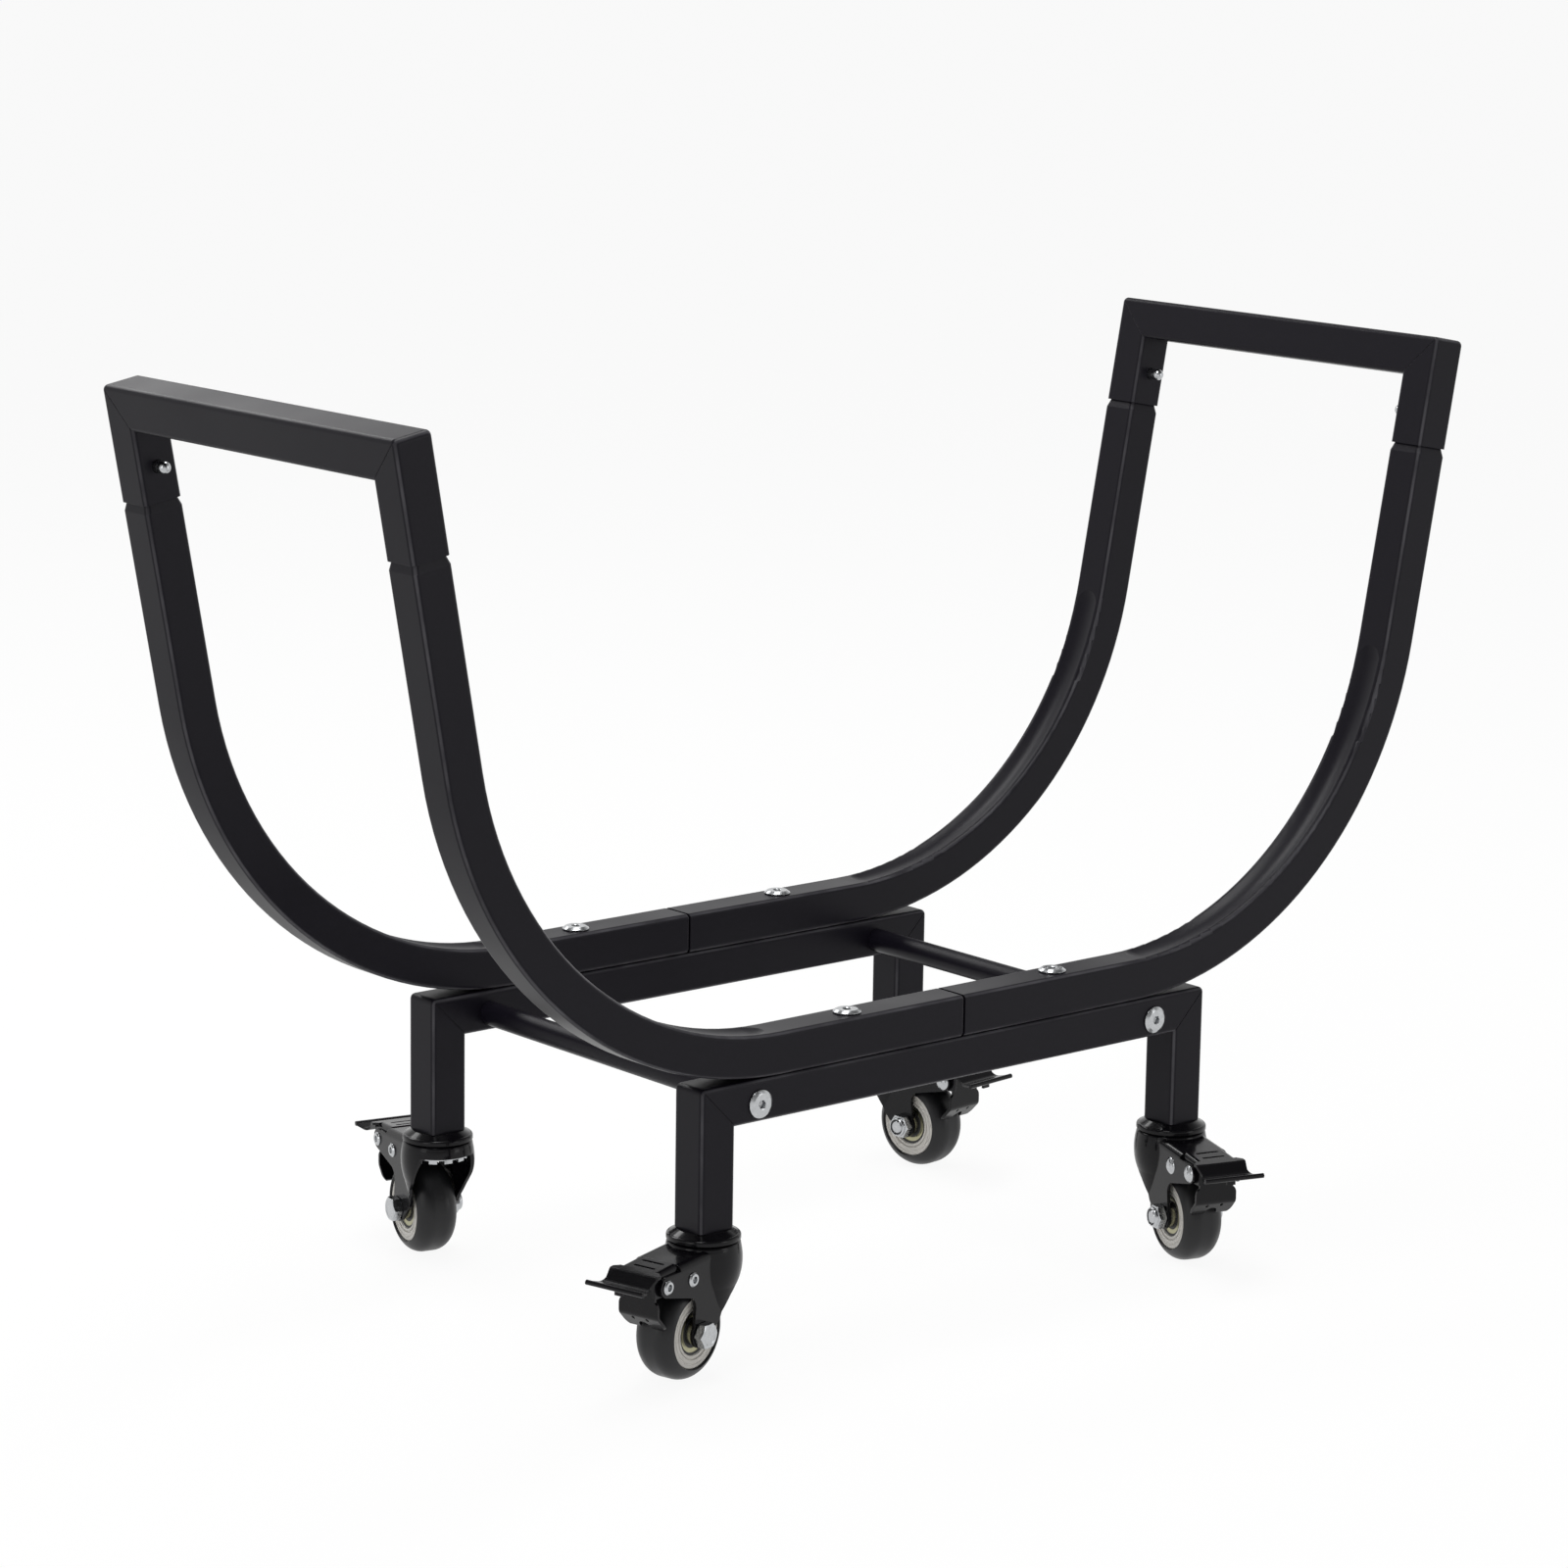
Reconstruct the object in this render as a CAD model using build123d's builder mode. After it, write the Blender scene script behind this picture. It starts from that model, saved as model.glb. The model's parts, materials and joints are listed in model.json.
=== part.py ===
from build123d import *
from math import atan2, cos, degrees, radians, sin, sqrt, tan
import os

# Firewood rack of square tube on four braked swivel casters, in millimetres.
# X runs along the rack, Y from front to back, and the origin is on the ground
# under the rack's centre.

# Square tube of every frame
tube = 22.0
tube_wall = 1.5
tube_corner = 2.5
mitre_corner = 3.0
mitre_line_width = 0.5
mitre_line_depth = 0.3

# Base frames: a rail with a leg at each end
base_length = 350.0
frame_spacing = 224.0
rail_top = 147.0
caster_height = 73.0

# Cross tubes between the two base frames
cross_tube_diameter = 13.0
cross_tube_wall = 1.5
cross_tube_x = 137.5
cross_tube_drop = 12.5
cross_insert_length = 18.0

# Flat-headed bolts with a hexagon socket, and the rivet nuts of the arm bolts
bolt_diameter = 6.0
bolt_hole_clearance = 0.3
bolt_head_diameter = 14.7
bolt_head_height = 2.0
bolt_head_bevel = 0.9
bolt_socket_width = 4.0
bolt_socket_depth = 2.6
cross_bolt_reach = 14.0
arm_bolt_x = 71.5
arm_bolt_length = 46.0
arm_nut_diameter = 9.0
arm_nut_reach = 10.0
arm_nut_clearance = 0.1
arm_nut_flange_diameter = 12.0
arm_nut_flange_height = 0.9
arm_nut_bulge_diameter = 11.4
arm_nut_bulge_height = 2.4

# Arms: a flat run on the rail, one bend and a straight rise
arm_flat_run = 123.0
arm_bend_radius = 200.0
arm_bend_angle = 79.5
arm_rise = 107.0
bend_hollow_depth = 1.5
bend_hollow_radius = 20.0
bend_hollow_margin = 4.0

# Drawn-in ends of the arms, which plug into the next tube
plug_clearance = 0.2
seat_width = 0.2
plug_corner = 2.0
bore_corner = 1.0
centre_plug_length = 30.0
centre_gap = 0.7
centre_rounding = 1.4
top_plug_length = 38.0
top_taper = 4.4

# End frames, and the snap buttons that hold them
end_leg_length = 60.0
button_height = 18.0
button_diameter = 6.4
button_proud = 9.0
button_hole_clearance = 0.15
button_flange_diameter = 9.0
button_flange_thickness = 1.2
button_flange_gap = 0.2
spring_thickness = 0.8
spring_width = 9.0
spring_tip = 6.0
spring_fold = 24.0
spring_foot = 10.0

# Square plug in each leg, and the stem that screws into it
leg_insert_height = 25.0
leg_insert_corner = 1.0
stem_thread_diameter = 10.0
stem_thread_reach = 22.0
stem_neck_diameter = 12.0
stem_head_diameter = 16.4
stem_head_height = 2.2

# Upper raceway cap: flat under the leg, then sloping to its rim
cap_diameter = 37.8
cap_height = 5.0
cap_wall = 2.0
cap_flat_diameter = 27.2
cap_slope_drop = 2.2
cap_rounding = 1.4
crown_gap = 0.7

# Swivel balls, above and below the crown of the fork
ball_diameter = 3.8
ball_clearance = 0.4
ball_count = 10
upper_ball_circle = 27.0
lower_ball_circle = 22.0
race_slack = 0.2

# Toothed swivel lock ring
lock_ring_diameter = 32.4
lock_ring_thickness = 1.6
lock_ring_height = 3.4
lock_tooth_count = 12
lock_tooth_gap = 4.0
lock_tooth_depth = 2.6

# Fork: drum and skirt round the swivel, a folded roof behind it, cheeks and arms
crown_diameter = 37.6
crown_thickness = 2.2
crown_rounding = 1.8
fork_wall = 1.8
fork_gap = 25.2
swivel_clearance = 0.06
skirt_bulge = 1.0
skirt_bulge_height = 57.0
skirt_waist_diameter = 35.4
skirt_waist_height = 45.0
skirt_foot = 31.0
roof_front_height = 66.9
roof_rear = (37.3, 64.6)
roof_fold = 4.0
arch_top = 60.8
arch_corner = (-11.6, 59.4)
lead_bow = (-7.2, 50.0)
lead_knee = (-0.9, 41.0)
lead_foot = (4.9, 29.5)
boss_radius = 7.2
boss_front_angle = 43.0
boss_rear_angle = 35.0
notch_low = (24.8, 39.5)
notch_top = (30.4, 46.2)
notch_radius = 6.5
arm_end_radius = 5.4
arm_low_angle = 72.5

# Wheel
wheel_diameter = 50.0
axle_offset = 20.0
tread_width = 24.4
tread_shoulder = 9.5
core_face = 10.4
core_flange = 1.5
core_diameter = 36.6
core_seat_diameter = 33.0
core_bead = 0.6

# Ball bearings of the wheel, with a long inner ring
bearing_diameter = 22.0
bearing_width = 7.0
bearing_inset = 1.1
inner_ring_diameter = 12.4
inner_ring_gap = 0.2
seal_depth = 0.6
seal_inner = 6.5
seal_outer = 7.9
running_clearance = 0.05

# Axle bolt, and its nut with a locking collar
axle_diameter = 8.0
axle_hole_clearance = 0.1
hex_width = 12.0
hex_head_height = 5.2
hex_nut_height = 5.0
nut_collar_diameter = 10.8
nut_collar_height = 1.9
nut_collar_rounding = 1.2
axle_end_inset = 0.2
axle_end_bevel = 0.8

# Brake rivets
rivet_diameter = 4.8
rivet_head_diameter = 7.4
rivet_head_height = 1.3
rivet_dome_diameter = 9.4
rivet_dome_height = 2.0
rivet_eye_diameter = 3.0
rivet_eye_depth = 1.6
pedal_pivot = (48.2, 56.2)
plate_pivot = (27.6, 55.2)

# Brake pedal: a channel between the fork's arms, and a flared lip behind them
pedal_sheet = 1.4
pedal_side_gap = 0.3
pedal_shoulder = 3.0
pedal_front = (38.0, 65.0)
pedal_rear = (57.0, 63.4)
pedal_ear_radius = 5.0
pedal_side_depth = 20.0
pedal_flange_foot = 51.4
pedal_flange_front = 61.8
pedal_hump_width = 29.6
pedal_waist_width = 27.2
pedal_lip_start = 52.0
pedal_lip_low = (63.6, 57.0)
pedal_lip_tip = (72.2, 58.8)
pedal_tip_radius = 1.3
pedal_tip_width = 35.0
pedal_slot_length = 13.4
pedal_slot_width = 1.8
pedal_slots = (41.5, 48.5)
pedal_nib_width = 5.0
pedal_nib_drop = 3.0

# Brake plate: tongue, web, side lugs, and the shoe behind the tread
plate_sheet = 1.6
tongue_front = 13.5
tongue_height = 54.8
tongue_width = 10.0
web_start = 26.0
web_height = 60.6
web_width = 20.0
lug_gap = 0.8
lug_radius = 5.0
shoe_back = 52.6
shoe_width = 24.0
shoe_shoulder = 49.4
shoe_knee = 40.5
shoe_edge = (45.6, 33.0)
shoe_corner = 4.5
shoe_notch_width = 7.0
shoe_notch_top = 36.4
shoe_hole_diameter = 1.8
shoe_hole_spacing = 8.6
shoe_hole_height = 38.2

# Where each caster stands: side of the rack, row, and the way its wheel trails
casters = (
    ("front_left", -1, -1, -166.0),
    ("front_right", 1, -1, -107.0),
    ("rear_left", -1, 1, 77.0),
    ("rear_right", 1, 1, -84.0),
)
sides = (("left", -1), ("right", 1))
rows = (("front", -1), ("rear", 1))

# Sizes worked out from those above
half = tube / 2
bore = tube - 2 * tube_wall
leg_x = base_length / 2 - half
row_y = frame_spacing / 2
leg_length = rail_top - caster_height
cross_tube_z = rail_top - cross_tube_drop
cross_bore_radius = cross_tube_diameter / 2 - cross_tube_wall
bolt_radius = bolt_diameter / 2
bolt_hole_radius = bolt_radius + bolt_hole_clearance
arm_nut_hole_radius = arm_nut_diameter / 2 + arm_nut_clearance
arm_z = rail_top + half
plug_size = bore - 2 * plug_clearance
plug_bore = plug_size - 2 * tube_wall
seat_size = bore + 2 * seat_width
lean = radians(arm_bend_angle)
arm_tip_x = arm_flat_run + arm_bend_radius * sin(lean) + arm_rise * cos(lean)
arm_tip_z = arm_z + arm_bend_radius * (1 - cos(lean)) + arm_rise * sin(lean)
button_radius = button_diameter / 2
button_hole_radius = button_radius + button_hole_clearance
leg_inner_y = row_y - half

crown_top = caster_height - cap_height - crown_gap
crown_radius = crown_diameter / 2
crown_under = crown_top - crown_thickness
race_depth = ball_diameter + ball_clearance - (caster_height - cap_wall - crown_top)
fork_inner = fork_gap / 2
fork_outer = fork_inner + fork_wall
wheel_radius = wheel_diameter / 2
axle_radius = axle_diameter / 2
lock_ring_top = crown_under - ball_diameter - ball_clearance
stem_neck_radius = stem_neck_diameter / 2
stem_radius = stem_thread_diameter / 2
rivet_radius = rivet_diameter / 2
arm_top = pedal_pivot[1] + arm_end_radius
ear_outer = fork_inner - pedal_side_gap
ear_inner = ear_outer - pedal_sheet
bearing_face = core_face - bearing_inset
bearing_back = bearing_face - bearing_width


def write(piece, name):
    piece.part.label = name
    export_step(piece.part, f"parts/{name}.step")


def upright(y, x=0.0, z=0.0):
    """Plane facing the front at depth y, with X to the right and Z up."""
    return Plane((x, y, z), x_dir=(1, 0, 0), z_dir=(0, -1, 0))


def lean_direction(side):
    return Vector(side * cos(lean), 0, sin(lean))


def u_outline(half_width, drop, inset):
    """Outline of an inverted U of tube, its outer top centre at the origin."""
    outer = half_width - inset
    inner = half_width - tube + inset
    Polyline(
        (-outer, -drop),
        (-outer, -inset),
        (outer, -inset),
        (outer, -drop),
        (inner, -drop),
        (inner, inset - tube),
        (-inner, inset - tube),
        (-inner, -drop),
        close=True,
    )


def u_frame(plane, half_width, drop):
    """Welded inverted U of square tube, open at the foot of its legs."""
    with BuildPart() as frame:
        with BuildSketch(plane) as shape:
            with BuildLine():
                u_outline(half_width, drop, 0)
            make_face()
            top_corners = shape.vertices().group_by(Axis.Y)[-1]
            fillet(top_corners, radius=mitre_corner)
        extrude(amount=half, both=True)
        faces = frame.faces().filter_by(lambda face: abs(face.normal_at().dot(plane.z_dir)) > 0.99)
        foot = plane.origin - plane.y_dir * drop
        edges = faces.edges().filter_by(
            lambda edge: abs((edge.center() - foot).dot(plane.y_dir)) > tube_corner
        )
        fillet(edges, radius=tube_corner)
        with BuildSketch(plane):
            with BuildLine():
                u_outline(half_width, drop + 1, tube_wall)
            make_face()
        extrude(amount=half - tube_wall, both=True, mode=Mode.SUBTRACT)
        # Ground-down weld line across each mitre, on both faces
        for turn in (1, -1):
            for face_side in (1, -1):
                start = face_side * (half - mitre_line_depth)
                with BuildSketch(plane.offset(start)):
                    with Locations((turn * (half_width - half), -half)):
                        Rectangle(tube * sqrt(2), mitre_line_width, rotation=turn * 45)
                extrude(amount=face_side * tube, mode=Mode.SUBTRACT)
    return frame


def base_frame(row):
    y = row * row_y
    frame = u_frame(upright(y, z=rail_top), base_length / 2, leg_length)
    with BuildPart() as piece:
        add(frame.part)
        with BuildSketch(upright(y)):
            with Locations((cross_tube_x, cross_tube_z), (-cross_tube_x, cross_tube_z)):
                Circle(bolt_hole_radius)
        extrude(amount=tube, both=True, mode=Mode.SUBTRACT)
        for radius, way in ((bolt_hole_radius, 1), (arm_nut_hole_radius, -1)):
            with BuildSketch(Plane.XY.offset(rail_top - half)):
                with Locations((arm_bolt_x, y), (-arm_bolt_x, y)):
                    Circle(radius)
            extrude(amount=way * tube, mode=Mode.SUBTRACT)
    return piece


def cross_tube(side):
    with BuildPart() as piece:
        with BuildSketch(upright(0)):
            with Locations((side * cross_tube_x, cross_tube_z)):
                Circle(cross_tube_diameter / 2)
                Circle(cross_bore_radius, mode=Mode.SUBTRACT)
        extrude(amount=leg_inner_y, both=True)
    return piece


def cross_inserts():
    """Threaded plugs pressed into both ends of both cross tubes."""
    with BuildPart() as piece:
        for _, row in rows:
            with BuildSketch(upright(row * leg_inner_y)):
                with Locations((cross_tube_x, cross_tube_z), (-cross_tube_x, cross_tube_z)):
                    Circle(cross_bore_radius)
                    Circle(bolt_radius, mode=Mode.SUBTRACT)
            extrude(amount=row * cross_insert_length)
    return piece


def bolt_profile(length):
    """Half section of a bolt whose head stands on y = 0 and whose axis is the Y axis."""
    head = bolt_head_diameter / 2
    Polyline(
        (0, bolt_head_height),
        (head - bolt_head_bevel * 1.6, bolt_head_height),
        (head, bolt_head_height - bolt_head_bevel),
        (head, 0),
        (bolt_radius, 0),
        (bolt_radius, 0.5 - length),
        (bolt_radius - 0.5, -length),
        (0, -length),
        close=True,
    )


def bolts(heads, length):
    """Bolts at the given places, each a plane whose normal leaves the head."""
    with BuildPart() as piece:
        for head in heads:
            with BuildSketch(Plane(head.origin, x_dir=head.x_dir, z_dir=-head.y_dir)):
                with BuildLine():
                    bolt_profile(length)
                make_face()
            revolve(axis=Axis(head.origin, head.z_dir))
            with BuildSketch(head.offset(bolt_head_height - bolt_socket_depth)):
                RegularPolygon(bolt_socket_width / 2, 6, major_radius=False)
            extrude(amount=bolt_socket_depth + 1, mode=Mode.SUBTRACT)
    return piece


def cross_bolts():
    heads = []
    for _, row in rows:
        for _, side in sides:
            place = (side * cross_tube_x, row * (row_y + half), cross_tube_z)
            heads.append(Plane(place, x_dir=(1, 0, 0), z_dir=(0, row, 0)))
    return bolts(heads, tube + cross_bolt_reach)


def arm_bolts():
    heads = []
    for _, row in rows:
        for _, side in sides:
            heads.append(Plane((side * arm_bolt_x, row * row_y, rail_top + tube)))
    return bolts(heads, arm_bolt_length)


def arm_nuts():
    """Rivet nuts clamped round the rail's lower wall: flange below, bulge and sleeve above."""
    under = rail_top - tube
    above = under + tube_wall
    rings = (
        (under - arm_nut_flange_height, arm_nut_flange_height, arm_nut_flange_diameter),
        (under, arm_nut_reach, arm_nut_diameter),
        (above, arm_nut_bulge_height, arm_nut_bulge_diameter),
    )
    with BuildPart() as piece:
        for start, height, diameter in rings:
            with BuildSketch(Plane.XY.offset(start)):
                with GridLocations(2 * arm_bolt_x, frame_spacing, 2, 2):
                    Circle(diameter / 2)
                    Circle(bolt_radius, mode=Mode.SUBTRACT)
            extrude(amount=height)
    return piece


def square_run(row, side, start, stop_short, size, corner):
    """Solid square bar bent along an arm's centre line."""
    with BuildPart() as run:
        with BuildLine(upright(row * row_y)) as route:
            flat = Line((side * start, arm_z), (side * arm_flat_run, arm_z))
            bend = JernArc(flat @ 1, flat % 1, arm_bend_radius, side * arm_bend_angle)
            Line(bend @ 1, (bend @ 1) + (bend % 1) * (arm_rise - stop_short))
        with BuildSketch(Plane(route.line @ 0, x_dir=(0, 1, 0), z_dir=(side, 0, 0))):
            RectangleRounded(size, size, corner)
        sweep(path=route.line)
    return run.part


def bend_hollow(row, side, radius):
    """The dip that bending leaves along the inner wall of an arm's bend."""
    centre = (side * arm_flat_run, row * row_y, arm_z + arm_bend_radius)
    reach = arm_bend_radius - half - bend_hollow_radius + bend_hollow_depth
    first = radians(bend_hollow_margin)
    last = lean - first
    with BuildPart() as piece:
        for angle in (first, last):
            out = Vector(side * sin(angle), 0, -cos(angle))
            with Locations(Vector(centre) + out * reach):
                Sphere(radius)
        out = Vector(side * sin(first), 0, -cos(first))
        along = Vector(side * cos(first), 0, sin(first))
        with BuildSketch(Plane(Vector(centre) + out * reach, x_dir=(0, 1, 0), z_dir=along)):
            Circle(radius)
        turn = degrees(last - first)
        revolve(axis=Axis(centre, (0, -side, 0)), revolution_arc=turn)
    return piece


def tip_plane(row, side, above=0.0):
    """Plane square to an arm's rise, at a distance above the end frame's foot."""
    foot = Vector(side * arm_tip_x, row * row_y, arm_tip_z)
    up = lean_direction(side)
    return Plane(foot + up * above, x_dir=(0, 1, 0), z_dir=up)


def plug(plane, start, length, size, corner):
    """Square bar standing on a plane, from start to length above it."""
    with BuildPart() as bar:
        with BuildSketch(plane.offset(start)):
            RectangleRounded(size, size, corner)
        extrude(amount=length - start)
    return bar.part


def arm(row, side, has_centre_plug):
    y = row * row_y
    dip = bend_hollow(row, side, bend_hollow_radius)
    dip_back = bend_hollow(row, side, bend_hollow_radius + tube_wall)
    body_start = centre_gap if has_centre_plug else 0.0
    with BuildPart() as cavity:
        add(square_run(row, side, body_start + tube_wall, top_taper + tube_wall, bore, bore_corner))
        add(dip_back.part, mode=Mode.SUBTRACT)
    centre_plane = Plane((0, y, arm_z), x_dir=(0, 1, 0), z_dir=(-side, 0, 0))
    with BuildPart() as piece:
        add(square_run(row, side, body_start, top_taper, tube, tube_corner))
        if has_centre_plug:
            end_face = piece.faces().sort_by(Axis.X)[-1 if side < 0 else 0]
            fillet(end_face.edges(), radius=centre_rounding)
            with BuildSketch(centre_plane):
                RectangleRounded(seat_size, seat_size, plug_corner)
            extrude(amount=-2 * centre_gap)
            add(plug(centre_plane, 0, centre_plug_length, plug_size, plug_corner))
        # Taper to the shoulder that the end frame stands on, then the top plug
        with BuildSketch(tip_plane(row, side, -top_taper)):
            RectangleRounded(tube, tube, tube_corner)
        with BuildSketch(tip_plane(row, side)):
            RectangleRounded(seat_size, seat_size, tube_corner)
        loft()
        add(plug(tip_plane(row, side), 0, top_plug_length, plug_size, plug_corner))
        # Inside
        add(cavity.part, mode=Mode.SUBTRACT)
        top_bore = plug(tip_plane(row, side), -2 * top_taper, top_plug_length + 1, plug_bore, bore_corner)
        add(top_bore, mode=Mode.SUBTRACT)
        if has_centre_plug:
            end_bore = plug(centre_plane, -3 * tube_wall, centre_plug_length + 1, plug_bore, bore_corner)
        else:
            end_bore = plug(centre_plane, -2 * tube_wall, tube_wall, bore, bore_corner)
        add(end_bore, mode=Mode.SUBTRACT)
        add(dip.part, mode=Mode.SUBTRACT)
        # Bolt and snap-button holes
        with BuildSketch(Plane.XY.offset(arm_z)):
            with Locations((side * arm_bolt_x, y)):
                Circle(bolt_hole_radius)
        extrude(amount=tube, both=True, mode=Mode.SUBTRACT)
        with BuildSketch(button_plane(row, side)):
            Circle(button_hole_radius)
        extrude(amount=half, mode=Mode.SUBTRACT)
    return piece


def button_plane(row, side):
    """Plane on the arm's centre line whose normal is the way the button points."""
    up = lean_direction(side)
    centre = Vector(side * arm_tip_x, row * row_y, arm_tip_z) + up * button_height
    return Plane(centre, x_dir=up, z_dir=(0, -row, 0))


def end_frame(side):
    up = lean_direction(side)
    top = Vector(side * arm_tip_x, 0, arm_tip_z) + up * end_leg_length
    plane = Plane(top, x_dir=(0, 1, 0), z_dir=(sin(lean), 0, -side * cos(lean)))
    frame = u_frame(plane, row_y + half, end_leg_length)
    with BuildPart() as piece:
        add(frame.part)
        for _, row in rows:
            with BuildSketch(button_plane(row, side).offset(half - 2 * tube_wall)):
                Circle(button_hole_radius)
            extrude(amount=3 * tube_wall, mode=Mode.SUBTRACT)
    return piece


def button_rest():
    """Height above the tube's centre line where the button's flange rests."""
    return plug_bore / 2 - button_flange_gap


def snap_button(row, side):
    """Domed button with a flange behind the wall of the arm's plug."""
    base = button_plane(row, side)
    tip = half + button_proud
    flange = button_flange_diameter / 2
    rest = button_rest()
    with BuildPart() as piece:
        with BuildSketch(Plane(base.origin, x_dir=base.x_dir, z_dir=-base.y_dir)):
            with BuildLine():
                Polyline(
                    (0, tip - button_radius),
                    (0, rest - button_flange_thickness),
                    (flange, rest - button_flange_thickness),
                    (flange, rest),
                    (button_radius, rest),
                    (button_radius, tip - button_radius),
                )
                CenterArc((0, tip - button_radius), button_radius, 0, 90)
                Line((0, tip), (0, tip - button_radius))
            make_face()
        revolve(axis=Axis(base.origin, base.z_dir))
    return piece


def snap_springs():
    """One folded leaf behind each button, its foot on the far wall of the plug."""
    near = button_rest() - button_flange_thickness - spring_thickness / 2
    far = (spring_thickness - plug_bore) / 2
    with BuildPart() as piece:
        for _, row in rows:
            for _, side in sides:
                base = button_plane(row, side)
                across = Plane(base.origin, x_dir=base.x_dir, z_dir=-base.y_dir)
                with BuildSketch(across):
                    with BuildLine():
                        FilletPolyline(
                            (spring_tip, near),
                            (-spring_tip, near),
                            (-spring_fold, far + 4),
                            (-spring_fold, far),
                            (spring_foot, far),
                            radius=(4.0, 1.6, 1.2),
                        )
                    trace(line_width=spring_thickness)
                extrude(amount=spring_width / 2, both=True)
    return piece


def leg_inserts():
    with BuildPart() as piece:
        with BuildSketch(Plane.XY.offset(caster_height)):
            with GridLocations(2 * leg_x, frame_spacing, 2, 2):
                RectangleRounded(bore, bore, leg_insert_corner)
                Circle(stem_radius, mode=Mode.SUBTRACT)
        extrude(amount=leg_insert_height)
    return piece


def stand_planes():
    """Upright half-section plane through each caster's swivel axis."""
    return [upright(row * row_y, x=side * leg_x) for _, side, row, _ in casters]


def turned_at_casters(draw):
    """Four solids of revolution about the swivel axes, from one half section."""
    with BuildPart() as piece:
        for plane in stand_planes():
            with BuildSketch(plane):
                with BuildLine():
                    draw()
                make_face()
            revolve(axis=Axis(plane.origin, (0, 0, 1)))
    return piece


def stem_section():
    neck_foot = lock_ring_top - lock_ring_thickness
    head = stem_head_diameter / 2
    thread_end = caster_height + stem_thread_reach
    neck_top = caster_height - cap_wall
    Polyline(
        (0, neck_foot - stem_head_height),
        (head - 0.8, neck_foot - stem_head_height),
        (head, neck_foot - stem_head_height + 0.8),
        (head, neck_foot),
        (stem_neck_radius, neck_foot),
        (stem_neck_radius, neck_top),
        (stem_radius, neck_top),
        (stem_radius, thread_end - 1),
        (stem_radius - 1, thread_end),
        (0, thread_end),
        close=True,
    )


def cap_section():
    """Dished cap: its plate lies under the leg, its rim hangs over the balls."""
    rim = cap_diameter / 2
    top = caster_height
    low = caster_height - cap_height
    under = top - cap_wall
    shoulder = top - cap_slope_drop
    inside = rim - cap_wall
    race = upper_ball_circle / 2
    race_radius = ball_diameter / 2 + race_slack
    groove = sqrt(race_radius**2 - (race_radius - race_depth) ** 2)
    Polyline(
        (stem_radius, under),
        (stem_radius, top),
        (cap_flat_diameter / 2, top),
        (rim - cap_rounding, shoulder),
    )
    RadiusArc((rim - cap_rounding, shoulder), (rim, shoulder - cap_rounding), cap_rounding)
    Polyline(
        (rim, shoulder - cap_rounding),
        (rim, low),
        (inside, low),
        (inside, under - cap_wall / 2),
        (inside - cap_wall * 0.75, under),
        (race + groove, under),
    )
    RadiusArc((race + groove, under), (race - groove, under), -race_radius)
    Line((race - groove, under), (stem_radius, under))


def swivel_balls():
    """Balls in the cap's race, and those that run on the lock ring."""
    upper = crown_top + ball_clearance + ball_diameter / 2
    lower = lock_ring_top + ball_diameter / 2
    with BuildPart() as piece:
        for _, side, row, _ in casters:
            for height, circle in ((upper, upper_ball_circle), (lower, lower_ball_circle)):
                with Locations((side * leg_x, row * row_y, height)):
                    with PolarLocations(circle / 2, ball_count):
                        Sphere(ball_diameter / 2)
    return piece


def lock_rings():
    """Discs on the stems with a downturned rim of teeth."""
    outer = lock_ring_diameter / 2
    under = lock_ring_top - lock_ring_thickness
    with BuildPart() as piece:
        for plane in stand_planes():
            with BuildSketch(plane):
                with BuildLine():
                    Polyline(
                        (stem_neck_radius, lock_ring_top),
                        (outer - 0.5, lock_ring_top),
                        (outer, lock_ring_top - 0.5),
                        (outer, lock_ring_top - lock_ring_height),
                        (outer - lock_tooth_depth, lock_ring_top - lock_ring_height),
                        (outer - lock_tooth_depth, under),
                        (stem_neck_radius, under),
                        close=True,
                    )
                make_face()
            revolve(axis=Axis(plane.origin, (0, 0, 1)))
            centre = plane.origin
            with BuildSketch(Plane((centre.X, centre.Y, under))):
                with PolarLocations(outer, lock_tooth_count):
                    Rectangle(3 * lock_tooth_depth, lock_tooth_gap)
            extrude(amount=-lock_ring_height, mode=Mode.SUBTRACT)
    return piece


class CasterPlanes:
    """Planes of one caster: side (trail, up), plan (trail, axle) and section (axle, up)."""

    def __init__(self, side, row, trail_angle):
        turn = radians(trail_angle)
        self.trail = Vector(cos(turn), sin(turn), 0)
        self.axle = Vector(-sin(turn), cos(turn), 0)
        self.foot = Vector(side * leg_x, row * row_y, 0)
        self.side = Plane(self.foot, x_dir=self.trail, z_dir=-self.axle)
        self.plan = Plane(self.foot, x_dir=self.trail, z_dir=(0, 0, 1))
        self.section = Plane(self.foot, x_dir=self.axle, z_dir=self.trail)
        self.swivel_axis = Axis(self.foot, (0, 0, 1))
        hub = self.foot + self.trail * axle_offset + Vector(0, 0, wheel_radius)
        self.hub_section = Plane(hub, x_dir=self.axle, z_dir=self.trail)
        self.hub_axis = Axis(hub, self.axle)

    def point(self, along, up):
        return self.foot + self.trail * along + Vector(0, 0, up)


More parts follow.
